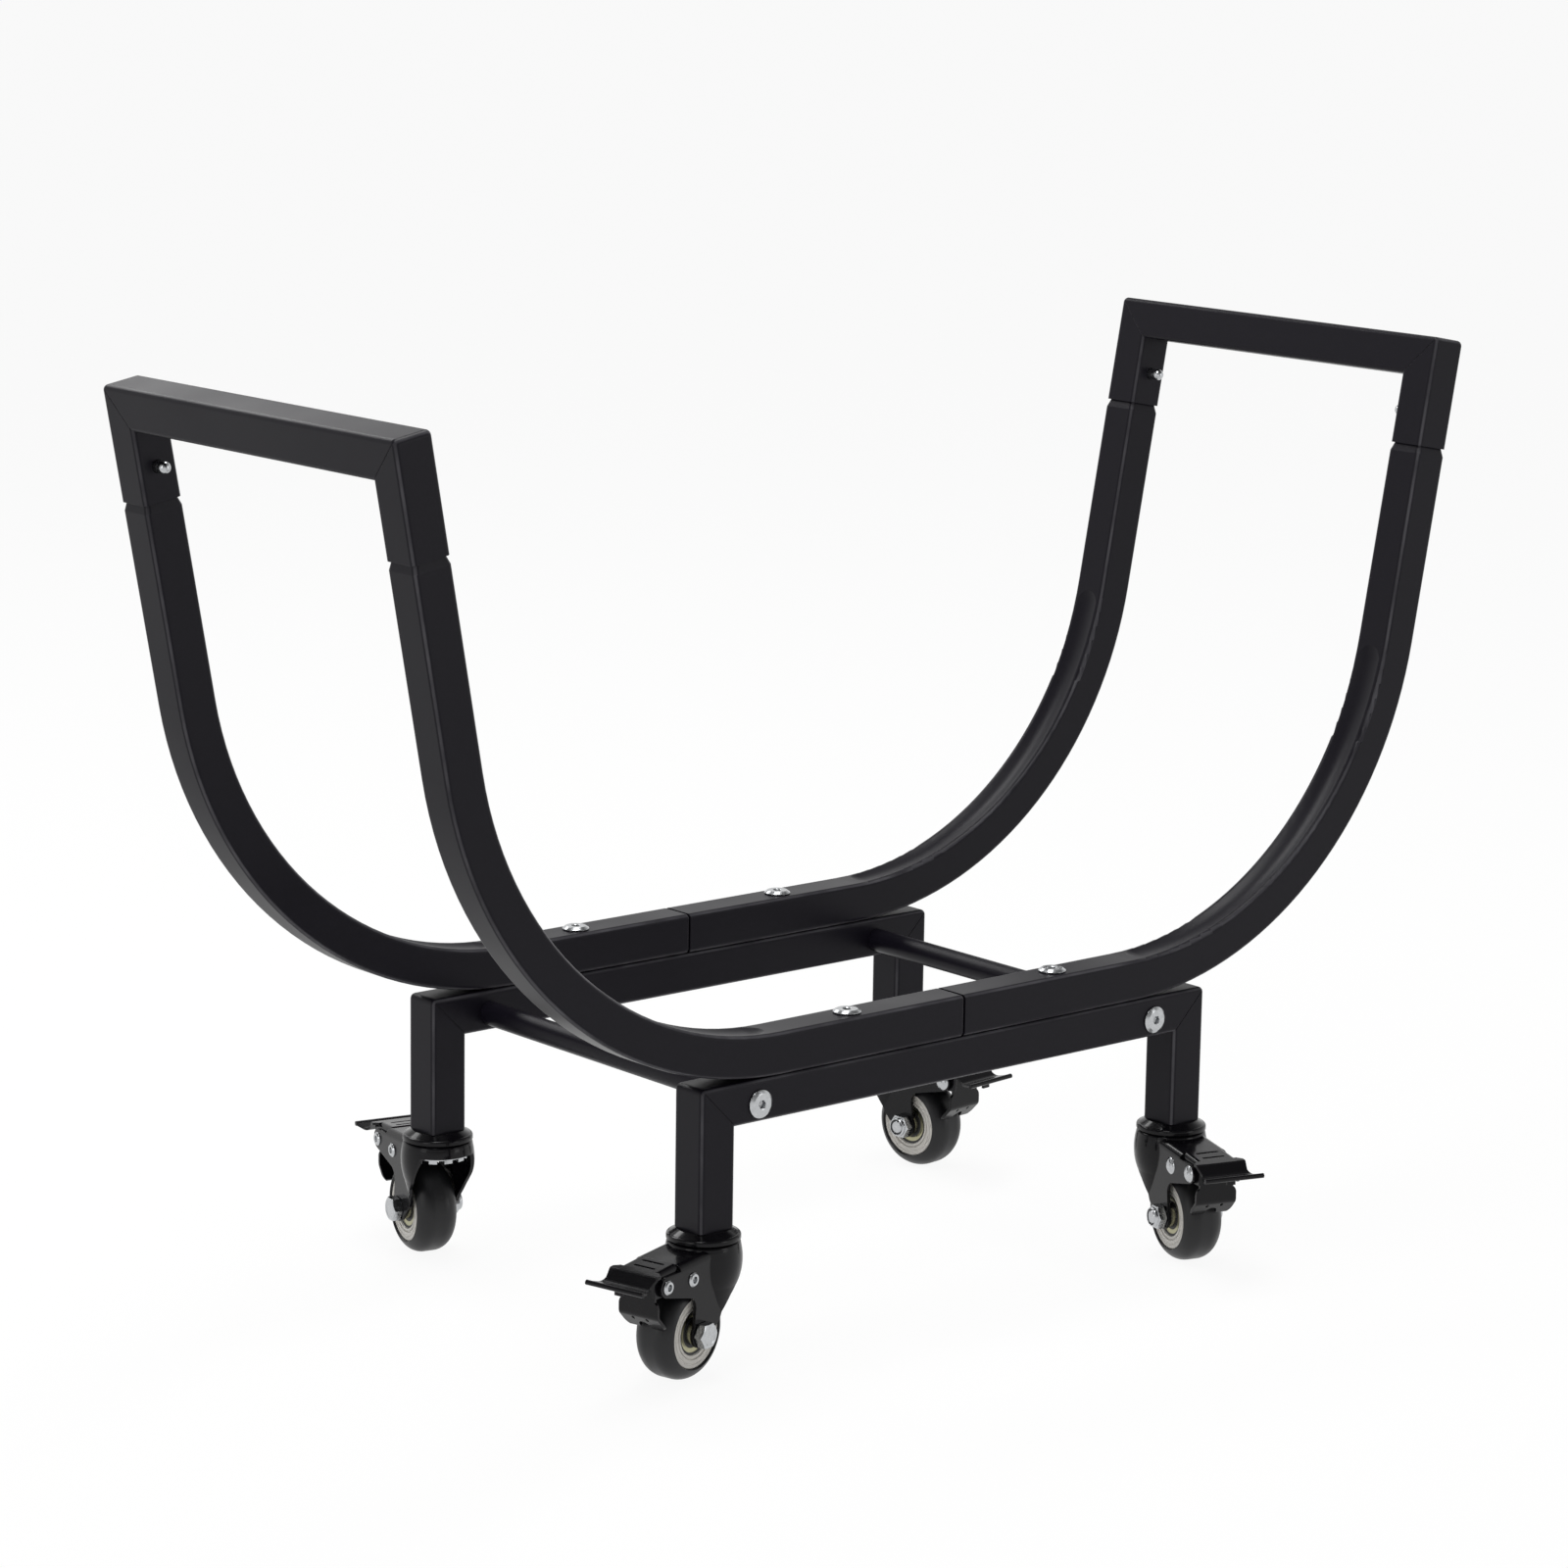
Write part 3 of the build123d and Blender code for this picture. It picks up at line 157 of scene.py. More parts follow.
class RackStudio(bpy.types.PropertyGroup):
    """Camera, lamps and floor."""

    camera_place: bpy.props.FloatVectorProperty(
        name="Camera", description="Where the camera stands", subtype="TRANSLATION", unit="LENGTH", size=3,
        default=(-1.61998, -1.87502, 0.77767),
    )
    camera_yaw: bpy.props.FloatProperty(
        name="Yaw", description="Camera's heading, from +Y towards +X", subtype="ANGLE", default=radians(40.47)
    )
    camera_pitch: bpy.props.FloatProperty(
        name="Pitch", description="Camera's tilt above the horizon", subtype="ANGLE", default=radians(-11.82)
    )
    camera_roll: bpy.props.FloatProperty(
        name="Roll", description="Camera's turn about its own axis", subtype="ANGLE", default=radians(-0.89)
    )
    lens: bpy.props.FloatProperty(
        name="Lens", description="Focal length in mm on a 36 mm sensor", unit="CAMERA", min=10, max=300, default=109.63
    )
    floor_colour: colour_property("Floor", "Colour of the floor and backdrop", "F4F4F3")
    key_power: bpy.props.FloatProperty(
        name="Key lamp", description="Power of the large lamp over the rack", unit="POWER", min=0, default=32
    )
    back_power: bpy.props.FloatProperty(
        name="Back lamp", description="Power of the lamp behind the rack", unit="POWER", min=0, default=14
    )
    side_power: bpy.props.FloatProperty(
        name="Side lamps", description="Power of each side lamp", unit="POWER", min=0, default=8
    )
    walls: bpy.props.FloatProperty(
        name="Walls", description="Strength of the light from the room's pale walls", subtype="FACTOR",
        min=0, max=1, default=1.0,
    )
    ceiling: bpy.props.FloatProperty(
        name="Ceiling", description="Strength of the light from the room's dim ceiling", subtype="FACTOR",
        min=0, max=1, default=0.22,
    )
    dim_side: bpy.props.FloatProperty(
        name="Dim side", description="Share of its light that the room keeps behind the photographer",
        subtype="FACTOR", min=0, max=1, default=0.45,
    )


def add_node(tree, kind, options=None, values=None, links=None):
    """Adds one shader node, sets its options and sockets, and links its inputs."""
    made = tree.nodes.new("ShaderNode" + kind)
    for name, value in (options or {}).items():
        setattr(made, name, value)
    for name, value in (values or {}).items():
        made.inputs[name].default_value = value
    for name, source in (links or {}).items():
        tree.links.new(source, made.inputs[name])
    return made


def new_material(name, colour, metallic, roughness, specular=0.5):
    """A material with its shader's own sockets set, and a coordinate node for patterns."""
    material = bpy.data.materials.new(name)
    material.use_nodes = True
    tree = material.node_tree
    shader = tree.nodes["Principled BSDF"]
    shader.inputs["Base Color"].default_value = (*colour, 1)
    shader.inputs["Metallic"].default_value = metallic
    shader.inputs["Roughness"].default_value = roughness
    shader.inputs["Specular IOR Level"].default_value = specular
    material.diffuse_color = (*colour, 1)
    place = add_node(tree, "TexCoord").outputs["Object"]
    return material, tree, shader, place


def speckle(tree, place, size_mm, detail=2.0):
    """Cloudy noise whose patches are size_mm across."""
    noise = add_node(
        tree, "TexNoise", values={"Scale": per_metre(size_mm), "Detail": detail}, links={"Vector": place}
    )
    return noise.outputs["Fac"]


def spread(tree, factor, low, high, start=0.3, end=0.7):
    """Maps a pattern's factor to a range of values."""
    mapped = add_node(
        tree, "MapRange",
        values={"From Min": start, "From Max": end, "To Min": low, "To Max": high},
        links={"Value": factor},
    )
    return mapped.outputs["Result"]


def mix_colours(tree, factor, first, second):
    """Goes from the first colour to the second as a pattern's factor rises."""
    mixed = add_node(
        tree, "MixRGB", values={"Color1": (*first, 1), "Color2": (*second, 1)}, links={"Fac": factor}
    )
    return mixed.outputs["Color"]


def raise_bump(tree, shader, height, depth_mm, strength=1.0, edge_mm=0.0):
    """Bump from a pattern, on edges that are softened by edge_mm where it is given."""
    links = {"Height": height}
    if edge_mm:
        edge = add_node(tree, "Bevel", {"samples": 6}, {"Radius": edge_mm * MILLIMETRE})
        links["Normal"] = edge.outputs["Normal"]
    bump = add_node(tree, "Bump", values={"Strength": strength, "Distance": depth_mm * MILLIMETRE}, links=links)
    tree.links.new(bump.outputs["Normal"], shader.inputs["Normal"])


def scaled(colour, factor):
    """A colour made darker or lighter by a factor."""
    return tuple(min(1.0, channel * factor) for channel in colour)


def highlight_corner_mask(tree):
    """1 along the rounded long corners of the tubes, which lie between a face along Y and one across it: where the
    painted highlight goes.
    """
    normal = add_node(tree, "TexCoord").outputs["Normal"]
    across = add_node(tree, "SeparateXYZ", links={"Vector": normal}).outputs["Y"]
    square = add_node(tree, "Math", {"operation": "MULTIPLY"}, links={0: across, 1: across}).outputs[0]
    rest = add_node(tree, "Math", {"operation": "SUBTRACT"}, {0: 1.0}, {1: square}).outputs[0]
    both = add_node(tree, "Math", {"operation": "MULTIPLY"}, links={0: square, 1: rest}).outputs[0]
    # The product is 0 on both faces and a quarter halfway round the corner
    return spread(tree, both, 0.0, 1.0, 0.12, 0.23)


def powder_coat(colour, highlight_colour):
    """Baked polyester powder: a matt black that only shines at a glancing angle, with a fine grain.

    Along the long corners a paler colour is painted in, stronger in some patches than others: a painted highlight
    standing in for the light that the rounded corners catch.
    """
    material, tree, shader, place = new_material("polyester_powder_coat", colour, 0.0, 0.36, 0.13)
    # Grain of real powder is about 0.3 mm; drawn at 0.9 mm so that it shows
    grain = speckle(tree, place, 0.9, 3.0)
    cloud = speckle(tree, place, 70.0)
    face = mix_colours(tree, grain, scaled(colour, 0.75), scaled(colour, 1.3))
    # Painted highlight along the corners, varied in strength by a 22 mm noise
    painted_highlight = add_node(
        tree, "Math", {"operation": "MULTIPLY"},
        links={0: highlight_corner_mask(tree), 1: spread(tree, speckle(tree, place, 22.0), 0.35, 1.0)},
    )
    coat = add_node(
        tree, "MixRGB", values={"Color2": (*highlight_colour, 1)}, links={"Fac": painted_highlight.outputs[0], "Color1": face}
    )
    tree.links.new(coat.outputs["Color"], shader.inputs["Base Color"])
    tree.links.new(spread(tree, cloud, 0.33, 0.40), shader.inputs["Roughness"])
    raise_bump(tree, shader, grain, 0.025, 0.5, 0.4)
    return material


def caster_enamel(colour):
    """Dipped and baked enamel on pressed steel: deep gloss with a slow orange peel and soft edges."""
    material, tree, shader, place = new_material("baked_enamel_on_steel", colour, 0.0, 0.2, 0.1)
    shader.inputs["Coat Weight"].default_value = 0.22
    shader.inputs["Coat Roughness"].default_value = 0.05
    peel = speckle(tree, place, 2.6)
    rub = speckle(tree, place, 14.0, 4.0)
    tree.links.new(spread(tree, rub, 0.15, 0.28), shader.inputs["Roughness"])
    tree.links.new(mix_colours(tree, rub, scaled(colour, 0.8), scaled(colour, 1.4)), shader.inputs["Base Color"])
    raise_bump(tree, shader, peel, 0.04, 0.5, 0.35)
    tree.links.new(shader.inputs["Normal"].links[0].from_socket, shader.inputs["Coat Normal"])
    return material


def zinc_plate(colour):
    """Bright zinc on steel fasteners: a clean metal with cloudy patches and tumbling marks."""
    material, tree, shader, place = new_material("bright_zinc_plate", colour, 1.0, 0.2)
    cloud = speckle(tree, place, 2.2, 4.0)
    pits = speckle(tree, place, 0.6, 2.0)
    tree.links.new(spread(tree, cloud, 0.12, 0.34), shader.inputs["Roughness"])
    tree.links.new(mix_colours(tree, cloud, scaled(colour, 0.72), scaled(colour, 1.15)), shader.inputs["Base Color"])
    raise_bump(tree, shader, pits, 0.03, 0.5, 0.2)
    return material


def bearing_steel(colour):
    """Ground and oiled bearing rings: a cool grey metal with a turned sheen."""
    material, tree, shader, place = new_material("ground_bearing_steel", colour, 1.0, 0.24)
    cloud = speckle(tree, place, 3.0, 3.0)
    tree.links.new(mix_colours(tree, cloud, scaled(colour, 0.8), scaled(colour, 1.15)), shader.inputs["Base Color"])
    tree.links.new(spread(tree, cloud, 0.18, 0.32), shader.inputs["Roughness"])
    return material


def passivated_shield(colour):
    """Yellow-passivated sheet over the bearing's balls: a greenish gold, duller than the rings."""
    material, tree, shader, place = new_material("yellow_passivated_sheet", colour, 1.0, 0.34)
    cloud = speckle(tree, place, 2.5, 4.0)
    tree.links.new(mix_colours(tree, cloud, scaled(colour, 0.7), scaled(colour, 1.2)), shader.inputs["Base Color"])
    tree.links.new(spread(tree, cloud, 0.26, 0.42), shader.inputs["Roughness"])
    return material


def seal_rubber(colour):
    """Moulded nitrile: a dull black lip between the bearing's rings and in the lock nut."""
    material, tree, shader, place = new_material("moulded_nitrile", colour, 0.0, 0.55)
    skin = speckle(tree, place, 0.8, 2.0)
    tree.links.new(mix_colours(tree, skin, scaled(colour, 0.8), scaled(colour, 1.2)), shader.inputs["Base Color"])
    raise_bump(tree, shader, skin, 0.02, 0.4)
    return material


def tread_rubber(colour):
    """Cast black polyurethane: satin, slightly duller where it has rolled."""
    material, tree, shader, place = new_material("cast_polyurethane", colour, 0.0, 0.40, 0.35)
    scuff = speckle(tree, place, 9.0, 5.0)
    skin = speckle(tree, place, 0.7, 2.0)
    tree.links.new(spread(tree, scuff, 0.34, 0.48), shader.inputs["Roughness"])
    tree.links.new(mix_colours(tree, scuff, scaled(colour, 0.8), scaled(colour, 1.3)), shader.inputs["Base Color"])
    raise_bump(tree, shader, skin, 0.015, 0.4, 0.3)
    return material


def core_nylon(colour):
    """Filled nylon, turned: warm light grey with a soft silky shine."""
    material, tree, shader, place = new_material("turned_grey_nylon", colour, 0.0, 0.3)
    cloud = speckle(tree, place, 6.0, 3.0)
    tree.links.new(mix_colours(tree, cloud, scaled(colour, 0.88), scaled(colour, 1.06)), shader.inputs["Base Color"])
    tree.links.new(spread(tree, cloud, 0.24, 0.38), shader.inputs["Roughness"])
    raise_bump(tree, shader, speckle(tree, place, 0.6), 0.012, 0.4, 0.2)
    return material


MATERIALS = {}


class RACK_OT_finishes(bpy.types.Operator):
    """Give every part of the rack the finish of its material slot"""

    bl_idname = "rack.finishes"
    bl_label = "Finish the Rack"

    def execute(self, context):
        colours = context.scene.rack_finishes
        MATERIALS.update({
            "powder_coat": powder_coat(tuple(colours.powder), tuple(colours.corner_highlight)),
            "caster_enamel": caster_enamel(tuple(colours.enamel)),
            "zinc_plate": zinc_plate(tuple(colours.zinc)),
            "bearing_steel": bearing_steel(tuple(colours.bearing)),
            "bearing_shield": passivated_shield(tuple(colours.shield)),
            "bearing_seal": seal_rubber(tuple(colours.seal)),
            "tread": tread_rubber(tuple(colours.tread)),
            "wheel_core": core_nylon(tuple(colours.core)),
        })
        for part in frame["record"]["subparts"]:
            mesh = frame["nodes"][part["node"]].data
            mesh.materials.clear()
            mesh.materials.append(MATERIALS[part["material_slot"]])
        return {"FINISHED"}


def ring_radius(turn, flats):
    """Distance from the middle of a hexagon to its outline in one direction, with a corner at 0."""
    return flats / 2 / cos(turn % (pi / 3) - pi / 6)


def turned(shape, outline, place, is_ring=False, steps=48):
    """Spins an outline about Z and puts it in its place.

    The outline has points (radius, height) in millimetres. A third value is a width across flats:
    the spun ring becomes that hexagon. A fourth is the radius from which its corners fall away
    at 30 degrees, as on a chamfered nut, downwards where it is below zero.
    """
    old = set(shape.verts)
    starts = [shape.verts.new((point[0] * MILLIMETRE, 0, point[1] * MILLIMETRE)) for point in outline]
    edges = [shape.edges.new(pair) for pair in zip(starts, starts[1:])]
    if is_ring:
        edges.append(shape.edges.new((starts[-1], starts[0])))
    bmesh.ops.spin(
        shape, geom=starts + edges, cent=(0, 0, 0), axis=(0, 0, 1), dvec=(0, 0, 0), angle=tau, steps=steps,
        use_merge=True,
    )
    made = [vert for vert in shape.verts if vert not in old]
    bmesh.ops.remove_doubles(shape, verts=made, dist=0.001 * MILLIMETRE)
    made = [vert for vert in shape.verts if vert not in old]
    for point in outline:
        if len(point) > 2:
            form_hexagon(made, *point)
    faces = [face for face in shape.faces if face.verts[0] not in old]
    bmesh.ops.recalc_face_normals(shape, faces=faces)
    bmesh.ops.transform(shape, matrix=place, verts=made)


def form_hexagon(made, radius, height, flats, fall_from=0.0):
    """Turns the ring of points at a radius and height into a hexagon, with corners that may fall away."""
    for vert in made:
        off_radius = sqrt(vert.co.x**2 + vert.co.y**2) / MILLIMETRE - radius
        off_height = vert.co.z / MILLIMETRE - height
        if max(abs(off_radius), abs(off_height)) < RING_TOLERANCE:
            turn = atan2(vert.co.y, vert.co.x)
            reach = ring_radius(turn, flats)
            vert.co.x = cos(turn) * reach * MILLIMETRE
            vert.co.y = sin(turn) * reach * MILLIMETRE
            if fall_from:
                drop = (reach - abs(fall_from)) * tan(CHAMFER_ANGLE) * MILLIMETRE
                vert.co.z -= copysign(drop, fall_from)


def thread(first, second, start, gap, pitch, turns):
    """Outline of a thread, which starts at a height and goes from its first radius to its second in each turn."""
    points = []
    for turn in range(turns):
        height = start + turn * pitch
        points += [(first, height), (second, height + gap)]
    return points


def finish_piece(name, shape, body, material, node=None):
    """Makes an object of a shape, dresses it and ties it to the body that carries it."""
    mesh = bpy.data.meshes.new(name)
    shape.to_mesh(mesh)
    shape.free()
    mesh.shade_smooth()
    mesh.set_sharp_from_angle(angle=SHARP_ANGLE)
    mesh.materials.append(MATERIALS[material])
    piece = bpy.data.objects.new(name, mesh)
    bpy.context.scene.collection.objects.link(piece)
    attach(piece, body)
    if node:
        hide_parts(node)


def facing(place, outward, across):
    """Matrix that stands a turned piece at a place, with Z outward and X across."""
    third = outward.cross(across)
    turn = Matrix((across, third, outward)).transposed().to_4x4()
    return Matrix.Translation(place) @ turn


def hub_place(caster, side):
    """Middle of a wheel, with Z along the axle to the given side and X along the trail."""
    joint = JOINTS[f"{caster}_wheel_roll"]
    axle = Vector(joint["axis"]).normalized()
    trail = axle.cross(Vector((0, 0, 1)))
    return facing(Vector(joint["pos_m"]), axle * side, trail)


def in_millimetres(group, *names):
    """Values of the named lengths of a property group, in millimetres."""
    return [getattr(group, name) / MILLIMETRE for name in names]


class RACK_OT_frame_bolts(bpy.types.Operator):
    """Make the flat-headed socket bolts of arms and cross tubes"""

    bl_idname = "rack.frame_bolts"
    bl_label = "Make the Frame Bolts"

    def execute(self, context):
        sizes = context.scene.rack_hardware
        low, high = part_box("arm_bolts")
        places = []
        for x in (low[0], high[0]):
            for y in (low[1], high[1]):
                places.append(self.stand(sizes, Vector((x, y, 0)), high[2]))
        self.make("arm_socket_bolts", "arm_bolts", sizes, places, high[2] - low[2])
        low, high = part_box("cross_tube_bolts")
        middle = (low[2] + high[2]) / 2
        half = sizes.head_width / 2
        places = []
        for x in (low[0] + half, high[0] - half):
            for y, out in ((low[1], -1), (high[1], 1)):
                foot = Vector((x, y - out * sizes.head_height, middle))
                places.append(facing(foot, Vector((0, out, 0)), Vector((1, 0, 0))))
        self.make("cross_tube_socket_bolts", "cross_tube_bolts", sizes, places, sizes.cross_bolt_length)
        return {"FINISHED"}

    def stand(self, sizes, corner, top):
        """Foot of an upright bolt's head, from the corner of the bolts' box that it reaches."""
        half = sizes.head_width / 2
        x, y = (value - copysign(half, value) for value in corner.xy)
        return facing(Vector((x, y, top - sizes.head_height)), Vector((0, 0, 1)), Vector((1, 0, 0)))

    def make(self, name, node, sizes, places, length):
        """Makes one bolt at each place: a full thread, and a thin cone of a head with its rim and socket."""
        bolt, head, height, flats, depth = in_millimetres(
            sizes, "bolt_width", "head_width", "head_height", "socket_width", "socket_depth"
        )
        reach = height - length / MILLIMETRE
        outline = [(0, reach), (bolt / 2 - 0.7, reach)]
        outline += thread(bolt / 2 - 0.35, bolt / 2, reach + 1.0, 0.5, pitch=1.0, turns=12)
        outline += [(bolt / 2, 0), (head / 2 - 0.75, 0)]
        outline += [(head / 2 - 0.3, 0.25), (head / 2, 0.6), (head / 2 - 0.12, 0.85), (head / 2 - 0.3, 0.98)]
        outline += [(head / 2 - 1.65, height - 0.12), (head / 2 - 1.85, height - 0.02), (head / 2 - 2.0, height)]
        outline += [(head / 2 - 2.2, height), (flats / 2 + 0.8, height), (flats / 2 + 0.6, height - 0.03)]
        outline += [
            (flats / 2 + 0.05, height - 0.35, flats),
            (flats / 2 + 0.04, height - depth, flats),
            (0, height - depth - 1.3),
        ]
        shape = bmesh.new()
        for place in places:
            turned(shape, outline, place)
        finish_piece(name, shape, "rack", "zinc_plate", node)


class RACK_OT_axles(bpy.types.Operator):
    """Make the axle bolts with chamfered hexagons, and their locking nuts"""

    bl_idname = "rack.axles"
    bl_label = "Make the Axles"

    def execute(self, context):
        flats, axle = in_millimetres(context.scene.rack_hardware, "hex_width", "axle_width")
        for caster in CASTERS:
            self.make_bolt(caster, flats, axle / 2)
            self.make_nut(caster, flats, axle / 2)
        return {"FINISHED"}

    def make_bolt(self, caster, flats, axle):
        """Makes a bolt whose head has a washer face and a shallow dish. Its heights are from the wheel's middle."""
        head, end, plain = 19.6, 21.1, 12.8
        outline = [(0, -end), (axle - 0.8, -end)]
        outline += thread(axle, axle - 0.45, -end + 0.8, 0.62, pitch=1.25, turns=6)
        outline += [
            (axle, -plain), (axle, FORK_FACE),
            (flats / 2 - 0.4, FORK_FACE), (flats / 2 - 0.4, FORK_FACE + 0.4), (flats / 2, FORK_FACE + 0.41, flats),
            (flats / 2 - 0.1, head, flats, flats / 2 - 0.35), (flats / 2 - 0.35, head),
            (flats / 2 - 1.3, head), (flats / 2 - 1.7, head - 0.25), (0, head - 0.25),
        ]
        shape = bmesh.new()
        turned(shape, outline, hub_place(caster, 1))
        finish_piece(
            f"{caster}_hexagon_bolt", shape, f"{caster}_swivel", "zinc_plate", f"{caster}_axle_bolt"
        )

    def make_nut(self, caster, flats, axle):
        """Makes a nut with the collar that holds its locking insert."""
        body, rim = 19.4, 21.3
        hole, lip, collar, face = axle + 0.05, axle + 0.45, flats / 2 - 0.6, flats / 2 - 0.35
        outline = [
            (hole, FORK_FACE), (face, FORK_FACE), (flats / 2 - 0.1, FORK_FACE, flats, -face),
            (flats / 2 - 0.1, body, flats, face), (face, body), (collar, body + 0.05), (collar, rim - 1.0),
            (collar - 0.15, rim - 0.45), (collar - 0.45, rim - 0.1), (collar - 0.8, rim),
            (lip, rim - 0.15), (lip, rim - 0.7), (hole, rim - 0.7),
        ]
        shape = bmesh.new()
        turned(shape, outline, hub_place(caster, -1), is_ring=True)
        finish_piece(
            f"{caster}_lock_nut", shape, f"{caster}_swivel", "zinc_plate", f"{caster}_axle_nut"
        )
        shape = bmesh.new()
        insert = [(hole, rim - 0.65), (lip - 0.05, rim - 0.65), (lip - 0.05, rim - 0.35), (hole, rim - 0.3)]
        turned(shape, insert, hub_place(caster, -1), is_ring=True)
        finish_piece(f"{caster}_nut_insert", shape, f"{caster}_swivel", "bearing_seal")


class RACK_OT_bearings(bpy.types.Operator):
    """Make the wheel bearings with rings, shields and seals"""

    bl_idname = "rack.bearings"
    bl_label = "Make the Bearings"

    def execute(self, context):
        # Heights along the axle are from the wheel's middle: face and back of the outer ring, end of the inner one
        ring, outer, axle = in_millimetres(context.scene.rack_hardware, "ring_width", "bearing_width", "axle_width")
        inner, seat, bore = ring / 2, outer / 2, axle / 2 + 0.05
        shield_hole, shield_rim = inner + 1.8, seat - 0.7
        face, back, end = 9.3, 2.3, 12.4
        inner_ring = [
            (bore, back), (inner, back), (inner, end - 0.4), (inner - 0.4, end), (bore + 0.4, end), (bore, end - 0.4),
        ]
        outer_ring = [
            (seat - 0.7, back), (seat - 0.2, back), (seat, back + 0.2), (seat, face - 0.35), (seat - 0.35, face),
            (seat - 0.7, face),
        ]
        shield = [
            (shield_hole, face - 0.75), (shield_hole, face - 0.4), (shield_hole + 0.5, face - 0.22),
            (shield_rim - 0.4, face - 0.12), (shield_rim, face - 0.2), (shield_rim, face - 0.75),
        ]
        seal = [
            (inner + 0.05, face - 1.0), (inner + 0.1, face - 0.55), (inner + 0.7, face - 0.35),
            (inner + 1.4, face - 0.45), (shield_hole - 0.05, face - 0.65), (shield_hole - 0.05, face - 1.0),
        ]
        outer_seal = [
            (seat - 0.65, face - 0.4), (seat - 0.65, face + 0.05), (seat - 0.3, face + 0.2), (seat + 0.5, face + 0.3),
            (seat + 0.55, face + 0.15), (seat - 0.05, face - 0.1), (seat - 0.05, face - 0.4),
        ]
        for caster in CASTERS:
            node = f"{caster}_wheel_bearings"
            self.make(caster, "bearing_rings", (inner_ring, outer_ring), "bearing_steel", "bearing_steel", node)
            self.make(caster, "bearing_shields", (shield,), "bearing_shield", "bearing_steel")
            self.make(caster, "bearing_seals", (seal, outer_seal), "bearing_seal", "tread")
        return {"FINISHED"}

    def make(self, caster, name, outlines, material, slot, node=None):
        """Makes rings of the given outlines on both sides of a wheel."""
        shape = bmesh.new()
        for side in (1, -1):
            for outline in outlines:
                turned(shape, outline, hub_place(caster, side), is_ring=True, steps=64)
        finish_piece(f"{caster}_{name}", shape, f"{caster}_wheel", material, node)


def aim(place, target, roll=0.0):
    """Matrix of a lamp or camera at a place, looking at a target."""
    turn = (target - place).to_track_quat("-Z", "Y").to_matrix().to_4x4()
    return Matrix.Translation(place) @ turn @ Matrix.Rotation(roll, 4, "Z")


def soft_lamp(name, place, target, width, height, power):
    """A large lamp that lights the rack softly."""
    lamp = bpy.data.lights.new(name, "AREA")
    lamp.shape = "RECTANGLE"
    lamp.size = width
    lamp.size_y = height
    lamp.energy = power
    lamp_object = bpy.data.objects.new(name, lamp)
    bpy.context.scene.collection.objects.link(lamp_object)
    lamp_object.matrix_world = aim(Vector(place), Vector(target))


def white_behind(tree, surface, white, share):
    """Puts plain white in place of a share of a surface, for the camera, mirrors and glass alone."""
    path = add_node(tree, "LightPath")
    direct = add_node(
        tree, "Math", {"operation": "MAXIMUM"},
        links={0: path.outputs["Is Camera Ray"], 1: path.outputs["Is Glossy Ray"]},
    )
    seen = add_node(
        tree, "Math", {"operation": "MAXIMUM"},
        links={0: direct.outputs[0], 1: path.outputs["Is Transmission Ray"]},
    )
    part = add_node(tree, "Math", {"operation": "MULTIPLY"}, {1: share}, {0: seen.outputs[0]})
    mixed = add_node(tree, "MixShader", links={0: part.outputs[0], 1: surface, 2: white})
    return mixed.outputs[0]


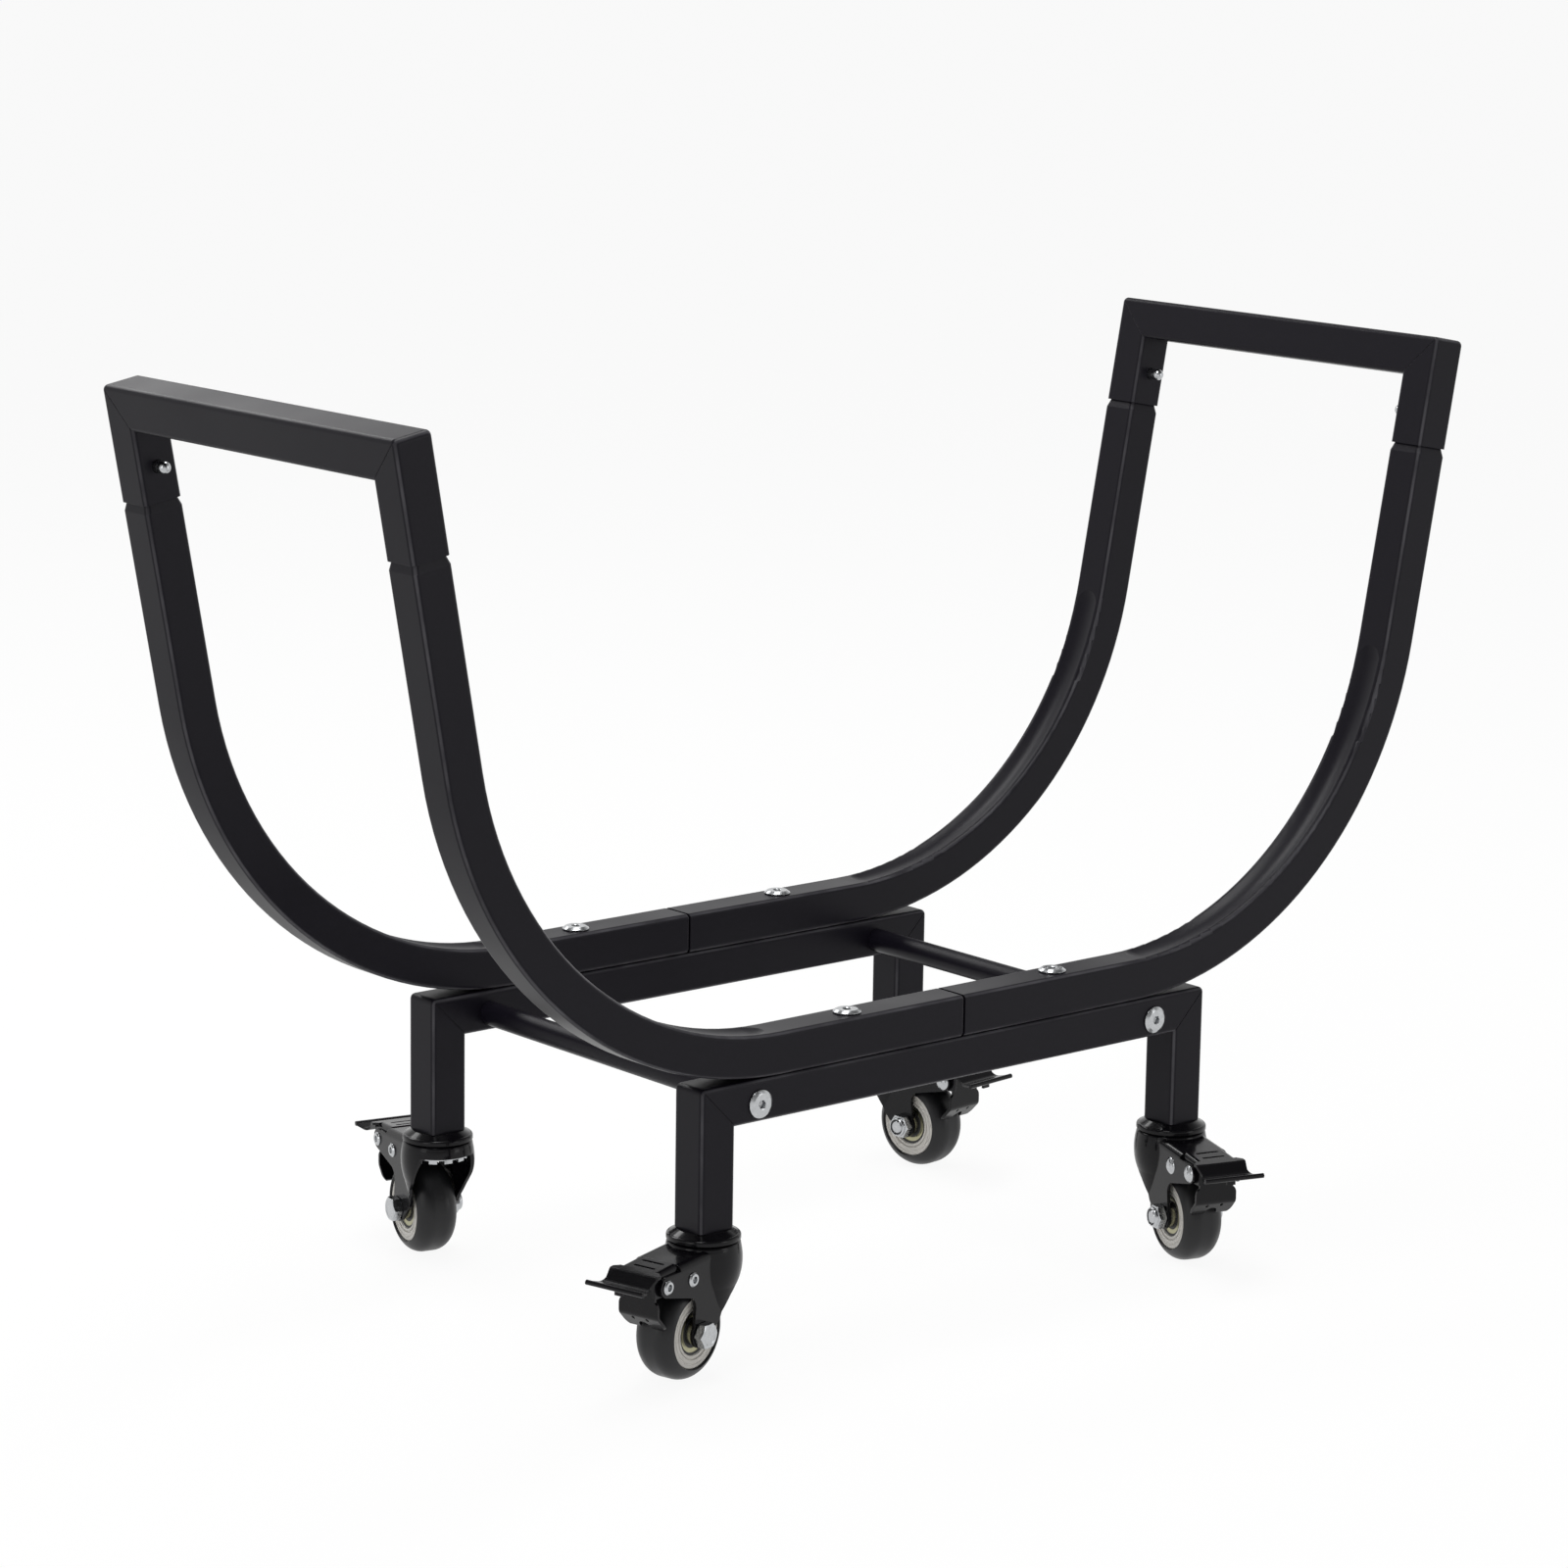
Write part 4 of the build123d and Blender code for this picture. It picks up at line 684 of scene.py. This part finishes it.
class RACK_OT_studio(bpy.types.Operator):
    """Set up the floor, the room light, the lamps and the camera"""

    bl_idname = "rack.studio"
    bl_label = "Set Up the Studio"

    def execute(self, context):
        studio = context.scene.rack_studio
        self.make_floor(tuple(studio.floor_colour))
        self.make_room(studio)
        middle = (CAD_BOX[0] + CAD_BOX[1]) / 2
        for name, (place, width, height, power) in LAMPS.items():
            soft_lamp(name, place, middle, width, height, getattr(studio, power))
        self.make_camera(studio)
        context.scene.view_settings.view_transform = "Standard"
        return {"FINISHED"}

    def make_floor(self, colour):
        """A plain floor that runs on as the backdrop."""
        mesh = bpy.data.meshes.new("studio_floor")
        shape = bmesh.new()
        bmesh.ops.create_grid(shape, x_segments=1, y_segments=1, size=FLOOR_REACH)
        shape.to_mesh(mesh)
        shape.free()
        floor = bpy.data.objects.new("studio_floor", mesh)
        bpy.context.scene.collection.objects.link(floor)
        material, tree, shader, _ = new_material("matt_white_floor", colour, 0.0, 0.9)
        white = add_node(tree, "Emission", values={"Color": (1, 1, 1, 1), "Strength": 1.0})
        shown = white_behind(tree, shader.outputs[0], white.outputs[0], FLOOR_WHITE)
        tree.links.new(shown, tree.nodes["Material Output"].inputs["Surface"])
        mesh.materials.append(material)

    def make_room(self, studio):
        """Pale walls under a dim ceiling, dimmer behind the photographer, so that bright metal has both to mirror."""
        world = bpy.data.worlds.new("pale_room")
        bpy.context.scene.world = world
        world.use_nodes = True
        tree = world.node_tree
        # Heights are sines of the angle above the horizon: the walls fade from 17 to 44 degrees
        direction = add_node(tree, "TexCoord").outputs["Generated"]
        height = add_node(tree, "SeparateXYZ", links={"Vector": direction}).outputs["Z"]
        light = tree.nodes["Background"]
        depth = add_node(
            tree, "VectorMath", {"operation": "DOT_PRODUCT"}, {1: (sin(studio.camera_yaw), cos(studio.camera_yaw), 0)},
            {0: direction},
        ).outputs["Value"]
        upward = spread(tree, height, studio.walls, studio.ceiling)
        share = spread(tree, depth, studio.dim_side, 1.0, -0.7, 0.3)
        # The foot of the walls stays pale all round, so that the end of the floor hardly shows
        foot = spread(tree, height, 1.0, 0.0, 0.06, 0.26)
        paler = add_node(tree, "Math", {"operation": "MAXIMUM"}, links={0: share, 1: foot})
        strength = add_node(tree, "Math", {"operation": "MULTIPLY"}, links={0: upward, 1: paler.outputs[0]})
        tree.links.new(strength.outputs[0], light.inputs["Strength"])
        light.inputs["Color"].default_value = (1, 1, 1, 1)

    def make_camera(self, studio):
        """A camera where the photographer stood."""
        camera = bpy.data.cameras.new("studio_camera")
        camera.lens = studio.lens
        camera.sensor_width = SENSOR_WIDTH
        camera_object = bpy.data.objects.new("studio_camera", camera)
        bpy.context.scene.collection.objects.link(camera_object)
        level = cos(studio.camera_pitch)
        heading = Vector((sin(studio.camera_yaw) * level, cos(studio.camera_yaw) * level, sin(studio.camera_pitch)))
        place = Vector(studio.camera_place)
        camera_object.matrix_world = aim(place, place + heading, -studio.camera_roll)
        bpy.context.scene.camera = camera_object


class RACK_PT_panel(bpy.types.Panel):
    """Lists the steps that dress the rack"""

    bl_idname = "RACK_PT_panel"
    bl_label = "Firewood Rack"
    bl_space_type = "VIEW_3D"
    bl_region_type = "UI"
    bl_category = "Rack"

    def draw(self, context):
        scene = context.scene
        for group in (scene.rack_finishes, scene.rack_hardware, scene.rack_studio):
            for name in group.bl_rna.properties.keys():
                if name not in ("name", "rna_type"):
                    self.layout.prop(group, name)
        for step in STEPS:
            self.layout.operator(step.bl_idname)


STEPS = (RACK_OT_finishes, RACK_OT_frame_bolts, RACK_OT_axles, RACK_OT_bearings, RACK_OT_studio)
GROUPS = {"rack_finishes": RackFinishes, "rack_hardware": RackHardware, "rack_studio": RackStudio}
CLASSES = tuple(GROUPS.values()) + STEPS + (RACK_PT_panel,)


def register():
    for item in CLASSES:
        bpy.utils.register_class(item)
    for name, group in GROUPS.items():
        setattr(bpy.types.Scene, name, bpy.props.PointerProperty(type=group))


def unregister():
    for name in GROUPS:
        delattr(bpy.types.Scene, name)
    for item in reversed(CLASSES):
        bpy.utils.unregister_class(item)


def main():
    register()
    for step in STEPS:
        group, name = step.bl_idname.split(".")
        getattr(getattr(bpy.ops, group), name)()


if __name__ == "__main__":
    main()
